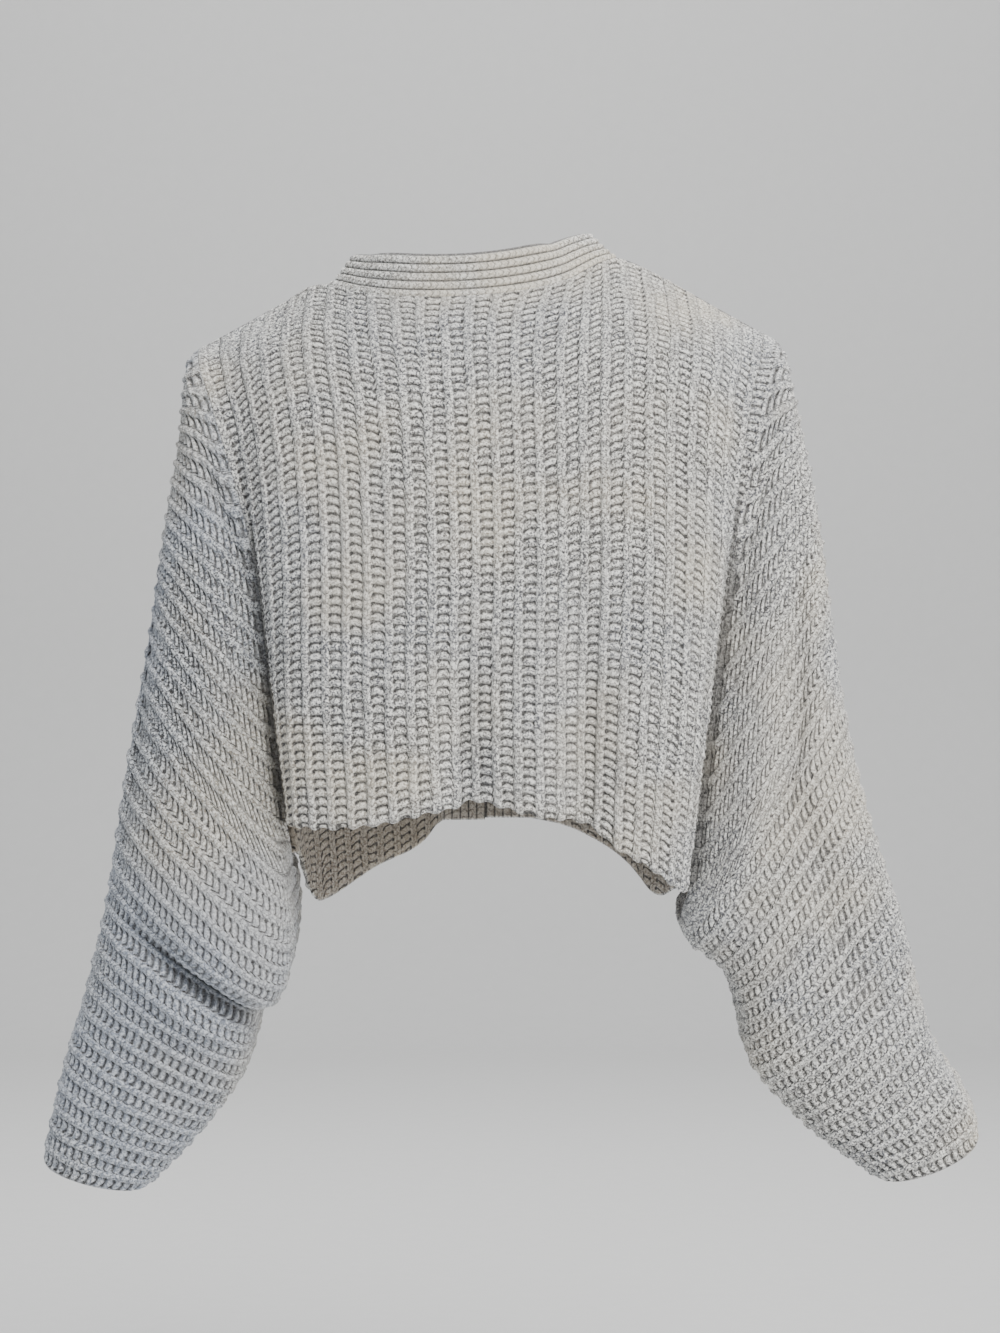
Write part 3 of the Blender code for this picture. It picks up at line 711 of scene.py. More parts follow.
    def front_polygon(self, side: Side, level: Sequence[float]) -> Grid:
        """Control polygon of one level of a front, side seam to band.

        Args:
            side: which front.
            level: a row of the table of front levels.

        Returns:
            The control points.
        """
        *edges, edge_y, fold, middle_y, left_band, right_band, band_y, band_z = level
        edge_x, edge_z = edges[:2] if side is Side.LEFT else edges[2:]
        band_x = left_band if side is Side.LEFT else right_band
        inward = band_x - edge_x
        points = self.seam_points((edge_x, edge_y, edge_z), np.sign(inward), fold, Face.FRONT, self.front_lip)
        across, out, rise = self.chest_shape
        drop = band_z - edge_z
        chest = (edge_x + across * inward, edge_y + out * (middle_y - edge_y), edge_z + rise * drop)
        flat = (edge_x + self.bust_share * inward, 0.5 * (middle_y + band_y) + 1.0,
                edge_z + self.bust_share * drop)
        return np.array(points + [chest, flat, (band_x, band_y, band_z)])

    def fold_shade(self, grid: Grid, seam_shares: Grid) -> Grid:
        """Painted shade in the deep folds beside the arms: how dark the cloth is painted there.

        Args:
            grid: points, rows by columns.
            seam_shares: place of each row along the armhole.

        Returns:
            The painted shade from 0 to 1.
        """
        lengths = lengths_along(grid, axis=1)
        deep = ease((seam_shares - self.fold_from) / self.fold_over)[:, None]
        left = ease(1.0 - lengths / self.fold_reach) * self.fold_darkness[0]
        right = ease(1.0 - (lengths[:, -1:] - lengths) / self.fold_reach) * self.fold_darkness[1]
        return (left + right) * deep

    @staticmethod
    def hang(levels: Grid, row_shares: Grid) -> Grid:
        """Smooth surface through the levels, read at shares of each column."""
        return np.stack([at_shares(round_corners(levels[:, column]), row_shares)
                         for column in range(levels.shape[1])], axis=1)

    def seam(self, side: Side, face: Face, row_shares: Grid) -> tuple[Grid, Grid]:
        """Line of an armhole seam and the normals that both its pieces share.

        Args:
            side: which armhole.
            face: its back or its front half.
            row_shares: shares of the seam's length from the shoulder point.

        Returns:
            The points and the normals.
        """
        ends = np.array([0.0, 1.0])
        if face is Face.BACK:
            edge = self.back(ends, row_shares)[:, 0 if side is Side.LEFT else 1]
        else:
            edge = self.front(side, ends, row_shares)[:, 0]
        along = np.gradient(edge, axis=0)
        along[0] = (0.0, float(face.value), 0.0)
        normals = unit(np.cross(self.across(side, row_shares), along))
        return edge, normals * np.sign(normals[0, 2])

    def across(self, side: Side, row_shares: Grid) -> Grid:
        """Way of the cloth across an armhole seam, away from the body.

        Args:
            side: which armhole.
            row_shares: shares of the seam's length from the shoulder point.

        Returns:
            One unit vector for each share.
        """
        line = np.array(self.shoulder_line)
        slope = unit(line[0] - line[1]) if side is Side.LEFT else unit(line[-1] - line[-2])
        flat = ease(np.asarray(row_shares) / self.slope_until)[:, None]
        return unit(slope * (1.0 - flat) + np.array([float(side.value), 0.0, 0.0]) * flat)


@dataclass
class BackPanel:
    """The back: 26 ribs from the shoulders to the hem."""

    body: Body
    columns_a_rib: int = 12
    rows: int = 264
    seed: int = 11
    flat: tuple[float, float] = (400.0, 430.0)
    held_ribs: float = 0.25
    held_top: float = 0.012
    scallop: float = 1.2

    def build(self) -> bpy.types.Object:
        """Make the back's shell."""
        cloth = self.body.cloth
        crochet = cloth.crochet
        column_shares = shares_of(cloth.back_ribs * self.columns_a_rib + 1)
        row_shares = shares_of(self.rows + 1)
        grid = self.body.back(column_shares, row_shares)
        normals = facing(grid, -1)
        for side, column in ((Side.LEFT, 0), (Side.RIGHT, -1)):
            normals[:, column] = self.body.seam(side, Face.BACK, row_shares)[1]
        ribs = np.broadcast_to(column_shares * cloth.back_ribs, grid.shape[:2]) + 0.0
        stitches = crochet.along_ribs(lengths_along(grid), ribs[0])
        relief, places = crochet.relief(np.clip(ribs, 0.0, cloth.back_ribs - SLIGHT), stitches, self.seed)
        from_edge = np.minimum(column_shares, 1.0 - column_shares) * cloth.back_ribs
        hold = ease(from_edge / self.held_ribs)[None, :] * ease(row_shares / self.held_top)[:, None]
        relief = crochet.held(relief, hold)
        scallop = self.scallop * np.cos(TURN * (ribs[-1] - crochet.ridge_share)) * hold[-1]
        grid[-1, :, 2] -= scallop
        grid[-2, :, 2] -= 0.5 * scallop
        skins = cloth.skins(grid, normals, relief, crochet.inside_relief(ribs) * hold)
        # Painted shade between the yarns and in the deep folds beside the arms.
        shade = cloth.shade(relief) + self.body.fold_shade(grid, row_shares)
        piece = Shell("back_crochet", *skins, places, shade, 4, 3).build()
        return cloth.finish(piece, "back", self.flat, "neckband")


@dataclass
class FrontPanel:
    """One front, from the shoulder to the hem, with the V of the neck at its inner edge."""

    body: Body
    side: Side
    columns: int = 120
    rows: int = 264
    seed: int = 23
    flat: tuple[float, float] = (185.0, 440.0)
    area_share: float = 0.78
    held_edge: float = 4.0
    held_top: float = 0.012

    def build(self) -> bpy.types.Object:
        """Make the front's shell."""
        cloth = self.body.cloth
        crochet = cloth.crochet
        row_shares = shares_of(self.rows + 1)
        grid = self.body.front(self.side, shares_of(self.columns + 1), row_shares)
        normals = facing(grid, 1)
        normals[:, 0] = self.body.seam(self.side, Face.FRONT, row_shares)[1]
        across = lengths_along(grid, axis=1)
        band_out = np.abs(grid[:, -1, 0]) - np.abs(grid[-1, -1, 0])
        ribs = (across[:, -1:] - across + band_out[:, None]) / cloth.rib
        stitches = lengths_along(grid) / crochet.stitch
        relief, places = crochet.relief(ribs, stitches, self.seed + self.side.value)
        from_edge = np.minimum(across, across[:, -1:] - across)
        hold = ease(from_edge / self.held_edge) * ease(row_shares / self.held_top)[:, None]
        relief = crochet.held(relief, hold)
        skins = cloth.skins(grid, normals, relief, crochet.inside_relief(ribs) * hold)
        name = "front_" + self.side.name.lower()
        piece = Shell(name + "_crochet", *skins, places, cloth.shade(relief), 4, 3).build()
        return cloth.finish(piece, name, self.flat, "neckband", self.area_share)


@dataclass
class Sleeve:
    """One batwing sleeve, sewn to the body from shoulder to hem and closed below it."""

    body: Body
    side: Side
    arm_line: Table
    under_line: Table
    girth: Table
    folds: Table
    rows_a_rib: int = 9
    back_columns: int = 128
    front_columns: int = 92
    seed: int = 37
    flat: tuple[float, float] = (430.0, 620.0)
    area_share: float = 0.8
    start_depth: float = 0.22
    start_reach: float = 0.2
    smooth_until: float = 4.0
    smooth_over: float = 6.0
    fold_end: float = 2.0
    crease_hold: tuple[float, float] = (0.18, 0.12)
    # Painted shade in the creases and in the deep fold beside the armhole seam.
    crease_shade: float = 0.045
    fold_reach: float = 17.0
    fold_darkness: float = 0.8
    fold_ribs: tuple[float, float] = (6.0, 4.0)
    held_edge: float = 4.0
    held_ribs: float = 0.6
    thin_ribs: float = 2.0
    arm_places: Table = (
        # rib, share
        (0, 0), (8, 0.15), (17, 0.35), (24, 0.585), (33, 0.82), (40, 1),
    )
    row_shape: Table = (
        # share, fold_reach, depth_share, carried_share, carried_rise
        (0.02, 0.10, 0.86, 0.45, 0),
        (0.5, 0, 1.06, 0.80, 0.08),
        (1, 0, 0.72, 1, 0.48),
    )

    def half_row(self, start: Grid, end: Grid, girth: Sequence[float], face: Face,
                 shares_now: tuple[float, float]) -> Grid:
        """Control polygon of half a row, from the inner edge to the top line of the arm.

        Args:
            start: point at the inner edge.
            end: point at the top line.
            girth: depth of the half and sag.
            face: back or front half.
            shares_now: how far the row starts in the deep fold, and how far it carries the
                body's cloth on past the seam.

        Returns:
            The control points.
        """
        depth, sag = girth
        fold, smooth = shares_now
        free = 1.0 - smooth
        way = float(face.value)
        reach = end - start
        turn = np.sign(reach[0]) * self.body.cloth.fold_turn
        turned = np.array([turn * free + self.start_reach * reach[0] * smooth, 0.0, 0.0])
        plain = np.array([0.0, way * self.start_depth * depth, 0.0])
        points = [start, start + fold * turned + (1.0 - fold) * plain]
        for share, fold_reach, depth_share, carried_share, carried_rise in self.row_shape:
            folded = share + fold_reach * fold
            place = start + reach * (folded * free + carried_share * smooth)
            folded_y = end[1] + way * depth * depth_share
            carried_y = start[1] + reach[1] * carried_rise
            drop = sag * depth_share * way * free
            points.append(np.array([place[0], folded_y * free + carried_y * smooth, place[2] + drop]))
        return np.array(points + [end])

    def crease(self, half: Grid, rib: float) -> Grid:
        """Press the creases into the back half of a row, and give the shade painted in them.

        Args:
            half: points of the half row, moved in place.
            rib: rib number of the row.

        Returns:
            The painted shade in the creases, which grows with how far each point lies down in one.
        """
        shares = shares_of(len(half))
        hold = ease(shares / self.crease_hold[0]) * ease((1.0 - shares) / self.crease_hold[1])
        painted_shade = np.zeros(len(half))
        for middle_rib, half_ribs, share, half_share, inward, raised in self.folds:
            along = np.exp(-((rib - middle_rib) / half_ribs) ** 2)
            over = np.exp(-((shares - share) / half_share) ** 2)
            half[:, 1] += inward * along * over * hold
            half[:, 2] += raised * along * over * hold
            # Painted shade in the crease, deeper where the crease presses in.
            painted_shade += self.crease_shade * max(inward, 0.0) * along * over * hold
        return painted_shade

    def middle(self) -> tuple[Grid, Grid, Grid, Grid]:
        """Middle surface of the sleeve.

        Returns:
            The grid, the rib number of each row, the normals, and the painted shade in the creases.
        """
        cloth = self.body.cloth
        ribs = np.arange(cloth.sleeve_ribs * self.rows_a_rib + 1) / self.rows_a_rib
        armhole = ribs[ribs <= cloth.armhole_ribs]
        seams = [self.body.seam(self.side, face, armhole / cloth.armhole_ribs) for face in Face]
        edges = [edge for edge, _ in seams]
        side_point = 0.5 * (edges[0][-1] + edges[1][-1])
        arm = at_shares(round_corners(self.arm_line), profile(self.arm_places, ribs))
        tube = ribs[len(armhole):] - cloth.armhole_ribs
        under = at_shares(round_corners([side_point] + [list(p) for p in self.under_line]),
                          tube / (cloth.sleeve_ribs - cloth.armhole_ribs))
        girth = np.array(self.girth)
        sags = profile(girth[:, [0, 3]], ribs)
        depths = [profile(girth[:, [0, 1]], ribs), profile(girth[:, [0, 2]], ribs)]
        rows = []
        painted_shade = []
        for number, rib in enumerate(ribs):
            past = rib - cloth.armhole_ribs
            if past <= 0:
                starts = [edge[number] for edge in edges]
                shares_now = (1.0, 1.0 - ease((rib - self.smooth_until) / self.smooth_over))
            else:
                spread = 1.0 - ease(past / cloth.closing_ribs)
                centre = under[number - len(armhole)]
                starts = [centre + spread * (edge[-1] - side_point) for edge in edges]
                shares_now = (max(0.0, 1.0 - past / self.fold_end), 0.0)
            halves = []
            counts = (self.back_columns, self.front_columns)
            for face, start, depth, count in zip(Face, starts, depths, counts):
                polygon = self.half_row(start, arm[number], (depth[number], sags[number]), face, shares_now)
                halves.append(at_shares(round_corners(polygon), shares_of(count + 1)))
            painted_shade.append(np.append(self.crease(halves[0], rib), np.zeros(self.front_columns)))
            rows.append(np.concatenate([halves[0], halves[1][::-1][1:]]))
        grid = np.array(rows)
        grid[0] = arm[0]
        normals = grid_normals(grid)
        normals *= np.sign(normals[len(ribs) // 2, self.back_columns, 0] * self.side.value)
        normals[:len(armhole), 0] = seams[0][1]
        normals[:len(armhole), -1] = seams[1][1]
        normals[0] = seams[0][1][0]
        return grid, ribs, normals, np.array(painted_shade)

    def build(self) -> bpy.types.Object:
        """Make the sleeve's shell."""
        cloth = self.body.cloth
        crochet = cloth.crochet
        grid, rib_rows, normals, painted_shade = self.middle()
        closing = int((cloth.armhole_ribs + cloth.closing_ribs) * self.rows_a_rib)
        grid[closing:, -1] = grid[closing:, 0]
        joined = unit(normals[closing:, 0] + normals[closing:, -1])
        normals[closing:, 0] = joined
        normals[closing:, -1] = joined
        ribs = np.broadcast_to(rib_rows[:, None], grid.shape[:2]) + 0.0
        from_seam = lengths_along(grid, axis=1)
        from_top = from_seam - from_seam[:, self.back_columns:self.back_columns + 1]
        stitches = crochet.along_ribs(from_top.T, rib_rows).T
        relief, places = crochet.relief(np.clip(ribs, 0.0, cloth.sleeve_ribs - SLIGHT), stitches,
                                        self.seed + self.side.value)
        from_edge = np.minimum(from_seam, from_seam[:, -1:] - from_seam)
        hold = ease(from_edge / self.held_edge) * ease(ribs / self.held_ribs)
        hold[closing:] = 1.0
        relief = crochet.held(relief, hold)
        # Painted shade in the deep fold beside the armhole seam, added to the creases' painted shade.
        fold_first, fold_over = self.fold_ribs
        beside = ease((ribs - fold_first) / fold_over)
        beside = beside * ease((cloth.armhole_ribs + 1.0 - ribs) / self.fold_end)
        painted_shade = painted_shade + self.fold_darkness * ease(1.0 - from_seam / self.fold_reach) * beside
        inside = crochet.inside_relief(ribs) * hold * ease(ribs / self.thin_ribs)
        skins = cloth.skins(grid, normals, relief, inside)
        name = "sleeve_" + self.side.name.lower()
        piece = Shell(name + "_crochet", *skins, places, cloth.shade(relief) + painted_shade, 3, 4,
                      pole=True, closed_from=closing).build()
        return cloth.finish(piece, name, self.flat, "back", self.area_share)


@dataclass
class Neckband:
    """Band of lengthwise ridges round the back neck and down both front edges."""

    body: Body
    width: float = 33.0
    ridges: int = 5
    columns_a_ridge: int = 8
    step: float = 1.55
    seed: int = 51
    front_size: tuple[int, int] = (280, 24)
    back_size: tuple[int, int] = (80, 180)
    stand_from_y: float = 60.0
    stand_over: float = 110.0
    forward: float = 0.2
    shade_top: float = 1.1
    shade_depth: float = 2.2
    leans: Table = (
        # side, lean, from_x, over
        (-1, 1.1, 60, 70), (1, 1.8, 35, 60),
    )

    def path(self) -> tuple[Grid, Grid]:
        """Seam line of the band and the normals of the cloth beside it.

        Returns:
            The points, from the left front's hem to the right front's, and their normals.
        """
        rows, columns = (shares_of(count) for count in self.front_size)
        left, right = (self.body.front(side, columns, rows) for side in Side)
        across = np.linspace(*self.body.neck_shares(), self.back_size[1])
        back = self.body.back(across, shares_of(self.back_size[0]))
        line = np.concatenate([left[::-1, -1], back[0, 1:-1], right[:, -1]])
        beside = np.concatenate([facing(left, 1)[::-1, -1], facing(back, -1)[0, 1:-1],
                                 facing(right, 1)[:, -1]])
        along = lengths_along(line)
        shares = shares_of(int(along[-1] / self.step) + 1)
        smooth = [np.interp(shares, along / along[-1], beside[:, axis]) for axis in range(3)]
        return at_shares(line, shares), unit(np.stack(smooth, axis=1))

    def ways(self, path: Grid, normals: Grid) -> Grid:
        """Way of the band's width at each point of its seam line.

        Args:
            path: points of the seam line.
            normals: normals of the cloth beside it.

        Returns:
            One unit vector for each point.
        """
        along = unit(np.gradient(path, axis=0))
        stand = ease((self.stand_from_y - path[:, 1]) / self.stand_over)[:, None]
        lean = np.zeros(len(path))
        for side, reach, from_x, over in self.leans:
            lean -= side * reach * ease((side * path[:, 0] - from_x) / over)
        up = np.stack([lean, np.full(len(path), self.forward), np.ones(len(path))], axis=1)
        flat = unit(np.cross(along, normals))
        flat *= -np.sign(flat[:, 0] * path[:, 0])[:, None]
        stood = unit(up - along * np.sum(up * along, axis=1, keepdims=True))
        way = unit(flat * (1.0 - stand) + stood * stand)
        return unit(way - along * np.sum(way * along, axis=1, keepdims=True))

    def build(self) -> bpy.types.Object:
        """Make the band's shell."""
        cloth = self.body.cloth
        path, cloth_normals = self.path()
        way = self.ways(path, cloth_normals)
        along = unit(np.gradient(path, axis=0))
        normals = unit(np.cross(along, way))
        normals *= np.where(np.sum(normals * cloth_normals, axis=1) < 0, -1.0, 1.0)[:, None]
        shares = shares_of(self.ridges * self.columns_a_ridge + 1)
        grid = path[:, None] + way[:, None] * (shares * self.width)[None, :, None]
        all_normals = np.repeat(normals[:, None], len(shares), axis=1)
        ridges = np.broadcast_to(shares * self.ridges, grid.shape[:2]) + 0.0
        along = lengths_along(path)[:, None]
        stitches = np.broadcast_to(along / cloth.band_stitch.stitch, grid.shape[:2]) + 0.0
        ridges = np.clip(ridges, 0.0, self.ridges - SLIGHT)
        relief, places = cloth.band_stitch.relief(ridges, stitches, self.seed)
        skins = cloth.skins(grid, all_normals, relief, np.zeros_like(relief))
        # Painted shade in the grooves between the band's ridges.
        shade = np.clip((self.shade_top - relief) / self.shade_depth, 0.0, 1.0)
        piece = Shell("neckband_crochet", *skins, places, shade, 4, 4,
                      rounded=("last_column", "first_row", "last_row")).build()
        return cloth.finish(piece, "neckband", (self.width, float(along[-1, 0])), "back")


def operator(operation: str, reflected: bool = False) -> Callable[..., "Signal"]:
    """Method that adds one Math node.

    Args:
        operation: the node's operation.
        reflected: whether the signal is the second value.

    Returns:
        The method.
    """
    def method(self: "Signal", other: Any = 0.0) -> "Signal":
        """Give the node's value."""
        first, second = (other, self) if reflected else (self, other)
        inputs = {0: first, 1: second}
        return self.tree.value(self.tree.node("ShaderNodeMath", {"operation": operation}, inputs))

    return method


class Signal:
    """A shader value that Python operators can be used on."""

    __add__ = operator("ADD")
    __radd__ = operator("ADD", True)
    __sub__ = operator("SUBTRACT")
    __rsub__ = operator("SUBTRACT", True)
    __mul__ = operator("MULTIPLY")
    __rmul__ = operator("MULTIPLY", True)
    __abs__ = operator("ABSOLUTE")
    part = operator("FRACT")
    greater = operator("MAXIMUM")

    def __init__(self, tree: "Shader", socket: Any) -> None:
        """Wrap a socket of a shader."""
        self.tree = tree
        self.socket = socket

    def step(self, low: float, high: float) -> "Signal":
        """Soft step, 0 at the low value and 1 at the high one, which may lie below it.

        Args:
            low: where the step starts.
            high: where it is full.

        Returns:
            The stepped value.
        """
        near, far, first, last = (low, high, 0.0, 1.0) if low < high else (high, low, 1.0, 0.0)
        return self.tree.value(self.tree.node("ShaderNodeMapRange", {"interpolation_type": "SMOOTHSTEP"},
                                              {0: self, 1: near, 2: far, 3: first, 4: last}))


class Shader:
    """Node tree of one material."""

    def __init__(self, name: str) -> None:
        """Make a material with only its Principled shader and output.

        Args:
            name: the material's name.
        """
        self.material = bpy.data.materials.new(name)
        self.material.use_nodes = True
        self.tree = self.material.node_tree
        self.principled = self.tree.nodes["Principled BSDF"]

    def node(self, kind: str, settings: dict[str, Any], inputs: dict[Any, Any]) -> bpy.types.Node:
        """Add a node.

        Args:
            kind: the node's type.
            settings: its own settings, set before its sockets.
            inputs: values or signals for its sockets, by name or number.

        Returns:
            The node.
        """
        made = self.tree.nodes.new(kind)
        for name, value in settings.items():
            setattr(made, name, value)
        for key, value in inputs.items():
            self.feed(made.inputs[key], value)
        return made

    def dress(self, **values: Any) -> None:
        """Feed the Principled shader's sockets, named with _ for a space."""
        for name, value in values.items():
            self.feed(self.principled.inputs[name.replace("_", " ")], value)

    def feed(self, socket: Any, value: Any) -> None:
        """Link a signal to a socket, or set its value.

        Args:
            socket: the socket.
            value: the signal or the value.
        """
        if isinstance(value, Signal):
            self.tree.links.new(value.socket, socket)
        else:
            socket.default_value = value

    def value(self, node: bpy.types.Node, output: Any = 0) -> Signal:
        """Give one output of a node as a signal."""
        return Signal(self, node.outputs[output])

    def mix(self, factor: Any, first: Any, second: Any) -> Signal:
        """Mix two colours, the factor being the second one's share."""
        inputs = {0: factor, 6: first, 7: second}
        return self.value(self.node("ShaderNodeMix", {"data_type": "RGBA"}, inputs), 2)

    def noise(self, *layers: float) -> Signal:
        """Noise over the piece, from its repeats a metre, its finer layers and their strength."""
        place = self.value(self.node("ShaderNodeTexCoord", {}, {}), "Object")
        inputs = {"Vector": place} | dict(zip(("Scale", "Detail", "Roughness"), layers))
        return self.value(self.node("ShaderNodeTexNoise", {}, inputs))

    def attribute(self, name: str, output: str) -> Signal:
        """One of the mesh's own attributes."""
        return self.value(self.node("ShaderNodeAttribute", {"attribute_name": name}, {}), output)


@dataclass(frozen=True)
class Tint:
    """A colour laid over the wool, from where its noise starts to count to where it is full."""

    colour: Colour
    start: float
    full: float
    share: float = 1.0


@dataclass(frozen=True)
class HeatherWool:
    """Chunky heather-grey wool, matt and a little hairy, with the shade between its stitches painted in.

    A step says where a mark starts and where it is full, in shares of a stitch or a rib.
    """

    pattern: Pattern = Pattern.LADDER
    crochet: Crochet = Crochet()
    noises: Table = (
        # repeats_a_metre, finer_layers, strength: of fibres, strands, warm patches, cool patches
        (620, 2, 0.65), (360, 3, 0.6), (9, 2, 0.5), (6, 1, 0.5),
    )
    grey: Colour = (0.47, 0.465, 0.45, 1.0)
    pale: Tint = Tint((1.0, 0.99, 0.945, 1.0), 0.38, 0.56)
    fleck: Tint = Tint((0.06, 0.06, 0.07, 1.0), 0.505, 0.575, 0.95)
    warm: Tint = Tint((0.84, 0.74, 0.55, 1.0), 0.42, 0.66, 0.40)
    cool: Tint = Tint((0.44, 0.50, 0.62, 1.0), 0.38, 0.66, 0.14)
    # Painted shade: the inner face, which lies in shade, is tinted warm brown.
    inside: Tint = Tint((0.40, 0.33, 0.25, 1.0), -0.2, -0.7, 0.6)
    # Painted shade: near-black laid into the hollows between the yarns and into the folds.
    hollow: Tint = Tint((0.05, 0.048, 0.047, 1.0), 0.35, 1.0, 0.7)
    # Painted shade between the yarns: how uneven it is, and the wobble, widths, reaches and darkness of its
    # lines, holes, braid strands and grooves; the heights belong to the bump.
    drawn_step: Step = (0.25, 0.6)
    drawn_range: Step = (0.3, 0.7)
    heights: tuple[float, float, float] = (0.45, 0.6, 0.9)
    wobble: float = 0.55
    line_width: Step = (0.19, 0.04)
    line_reach: Step = (1.12, 0.86)
    line_dark: float = 0.9
    hole_width: Step = (0.30, 0.14)
    hole_place: float = 0.88
    hole_reach: Step = (0.36, 0.12)
    braid_width: Step = (0.15, 0.03)
    braid_reach: Step = (1.0, 0.7)
    braid_dark: float = 0.5
    mark_width: Step = (0.22, 0.0)
    middle_dark: float = 0.35
    edge_place: float = 1.05
    edge_dark: float = 0.4
    cord_wobble: float = 0.6
    cord_groove: Step = (0.34, 0.49)
    groove_wobble: float = 0.3
    groove_dark: float = 0.95
    cord_slant: float = 0.9
    cord_width: Step = (0.16, 0.03)
    roughness: float = 0.92
    sheen: float = 0.3
    sheen_roughness: float = 0.6
    specular: float = 0.25
    bump: float = 0.9
    bump_metres: float = 0.0011

    def ladder(self, rib: Signal, stitch: Signal, fuzz: Signal) -> Signal:
        """Painted shade in the ladder: dark lines between the bars, dark holes at their ends and dark lines
        in the braid of the ridge.

        Args:
            rib: place across the ribs.
            stitch: place along them, in stitches.
            fuzz: noise that makes the lines uneven.

        Returns:
            How dark the painted shade is, from 0 to 1.
        """
        cloth = self.crochet
        beside = (rib.part() - cloth.ladder_share) * (1.0 / cloth.ladder_half)
        far = abs(beside)
        wobble = (fuzz - 0.5) * self.wobble
        arch = stitch + cloth.bar_arch * (beside * beside) + wobble
        gap = abs(arch.part() - 0.5)
        lines = gap.step(*self.line_width) * (far + wobble).step(*self.line_reach)
        holes = gap.step(*self.hole_width) * abs(far - self.hole_place).step(*self.hole_reach)
        side = abs((rib + (0.5 - cloth.ridge_share)).part() - 0.5) * (1.0 / cloth.ridge_half)
        strand = abs((stitch + side * cloth.braid_slant + wobble).part() - 0.5)
        braid = strand.step(*self.braid_width) * side.step(*self.braid_reach) * self.braid_dark
        middle = side.step(*self.mark_width) * self.middle_dark
        edge = abs(side - self.edge_place).step(*self.mark_width) * self.edge_dark
        return (lines * self.line_dark).greater(holes).greater(braid.greater(middle).greater(edge))

    def cords(self, ridge: Signal, stitch: Signal, fuzz: Signal) -> Signal:
        """Painted shade on the band: dark grooves between its ridges and dark lines at the slanted strands on
        them.

        Args:
            ridge: place across the ridges.
            stitch: place along them, in stitches.
            fuzz: noise that makes the lines uneven.

        Returns:
            How dark the painted shade is, from 0 to 1.
        """
        wobble = (fuzz - 0.5) * self.cord_wobble
        across = ridge.part() - 0.5
        groove = (abs(across) + wobble * self.groove_wobble).step(*self.cord_groove) * self.groove_dark
        strand = abs((stitch + abs(across) * self.cord_slant + wobble).part() - 0.5)
        return groove.greater(strand.step(*self.cord_width) * self.braid_dark)

    def build(self, name: str) -> bpy.types.Material:
        """Make the wool's material.

        Args:
            name: the material's name.

        Returns:
            The material.
        """
        shader = Shader(name)
        fine, strand, patch, other_patch = (shader.noise(*row) for row in self.noises)
        # Painted shade from the mesh: between the yarns, in the folds, and the mark of the inner face.
        hollow = shader.attribute("hollow", "Fac")
        place = shader.node("ShaderNodeSeparateXYZ", {}, {0: shader.attribute("stitch_place", "Vector")})
        # Painted shade between the yarns, drawn from each point's stitch place.
        draw = self.ladder if self.pattern is Pattern.LADDER else self.cords
        drawn_shade = draw(shader.value(place, 0), shader.value(place, 1), strand)
        base = self.grey
        # The inside tint is painted shade on the inner face.
        for tint, where in ((self.pale, strand), (self.fleck, fine), (self.warm, patch),
                            (self.cool, other_patch), (self.inside, hollow)):
            base = shader.mix(where.step(tint.start, tint.full) * tint.share, base, tint.colour)
        # Painted shade: the hollows, the folds and the drawn lines between the yarns turn near-black.
        depth = hollow.step(self.hollow.start, self.hollow.full) * self.hollow.share
        uneven = fine.step(*self.drawn_step) * self.drawn_range[0] + self.drawn_range[1]
        base = shader.mix(depth.greater(drawn_shade * uneven), base, self.hollow.colour)
        of_fine, of_strand, of_drawn = self.heights
        height = fine * of_fine + strand * of_strand - drawn_shade * of_drawn
        bump = shader.node("ShaderNodeBump", {}, {"Height": height, "Strength": self.bump,
                                                  "Distance": self.bump_metres})
        shader.dress(Base_Color=base, Roughness=self.roughness, Sheen_Weight=self.sheen,
                     Sheen_Roughness=self.sheen_roughness, Specular_IOR_Level=self.specular,
                     Normal=shader.value(bump))
        return shader.material


@dataclass(frozen=True)
class Lamp:
    """One soft square light. Places and sizes are metres."""

    name: str
    place: Place
    size: float
    watts: float
    colour: Place = (1.0, 1.0, 1.0)
    aim: Place = (0.0, 0.0, -0.3)

    def build(self) -> None:
        """Add the light to the scene."""
        lamp = bpy.data.lights.new(self.name, "AREA")
        lamp.size = self.size
        lamp.energy = self.watts
        lamp.color = self.colour
        item = bpy.data.objects.new(self.name, lamp)
        bpy.context.scene.collection.objects.link(item)
        item.location = self.place
        way = np.array(self.aim) - np.array(self.place)
        pitch = math.atan2(math.hypot(way[0], way[1]), -way[2])
        item.rotation_euler = (pitch, 0.0, math.atan2(way[1], way[0]) - 0.25 * TURN)


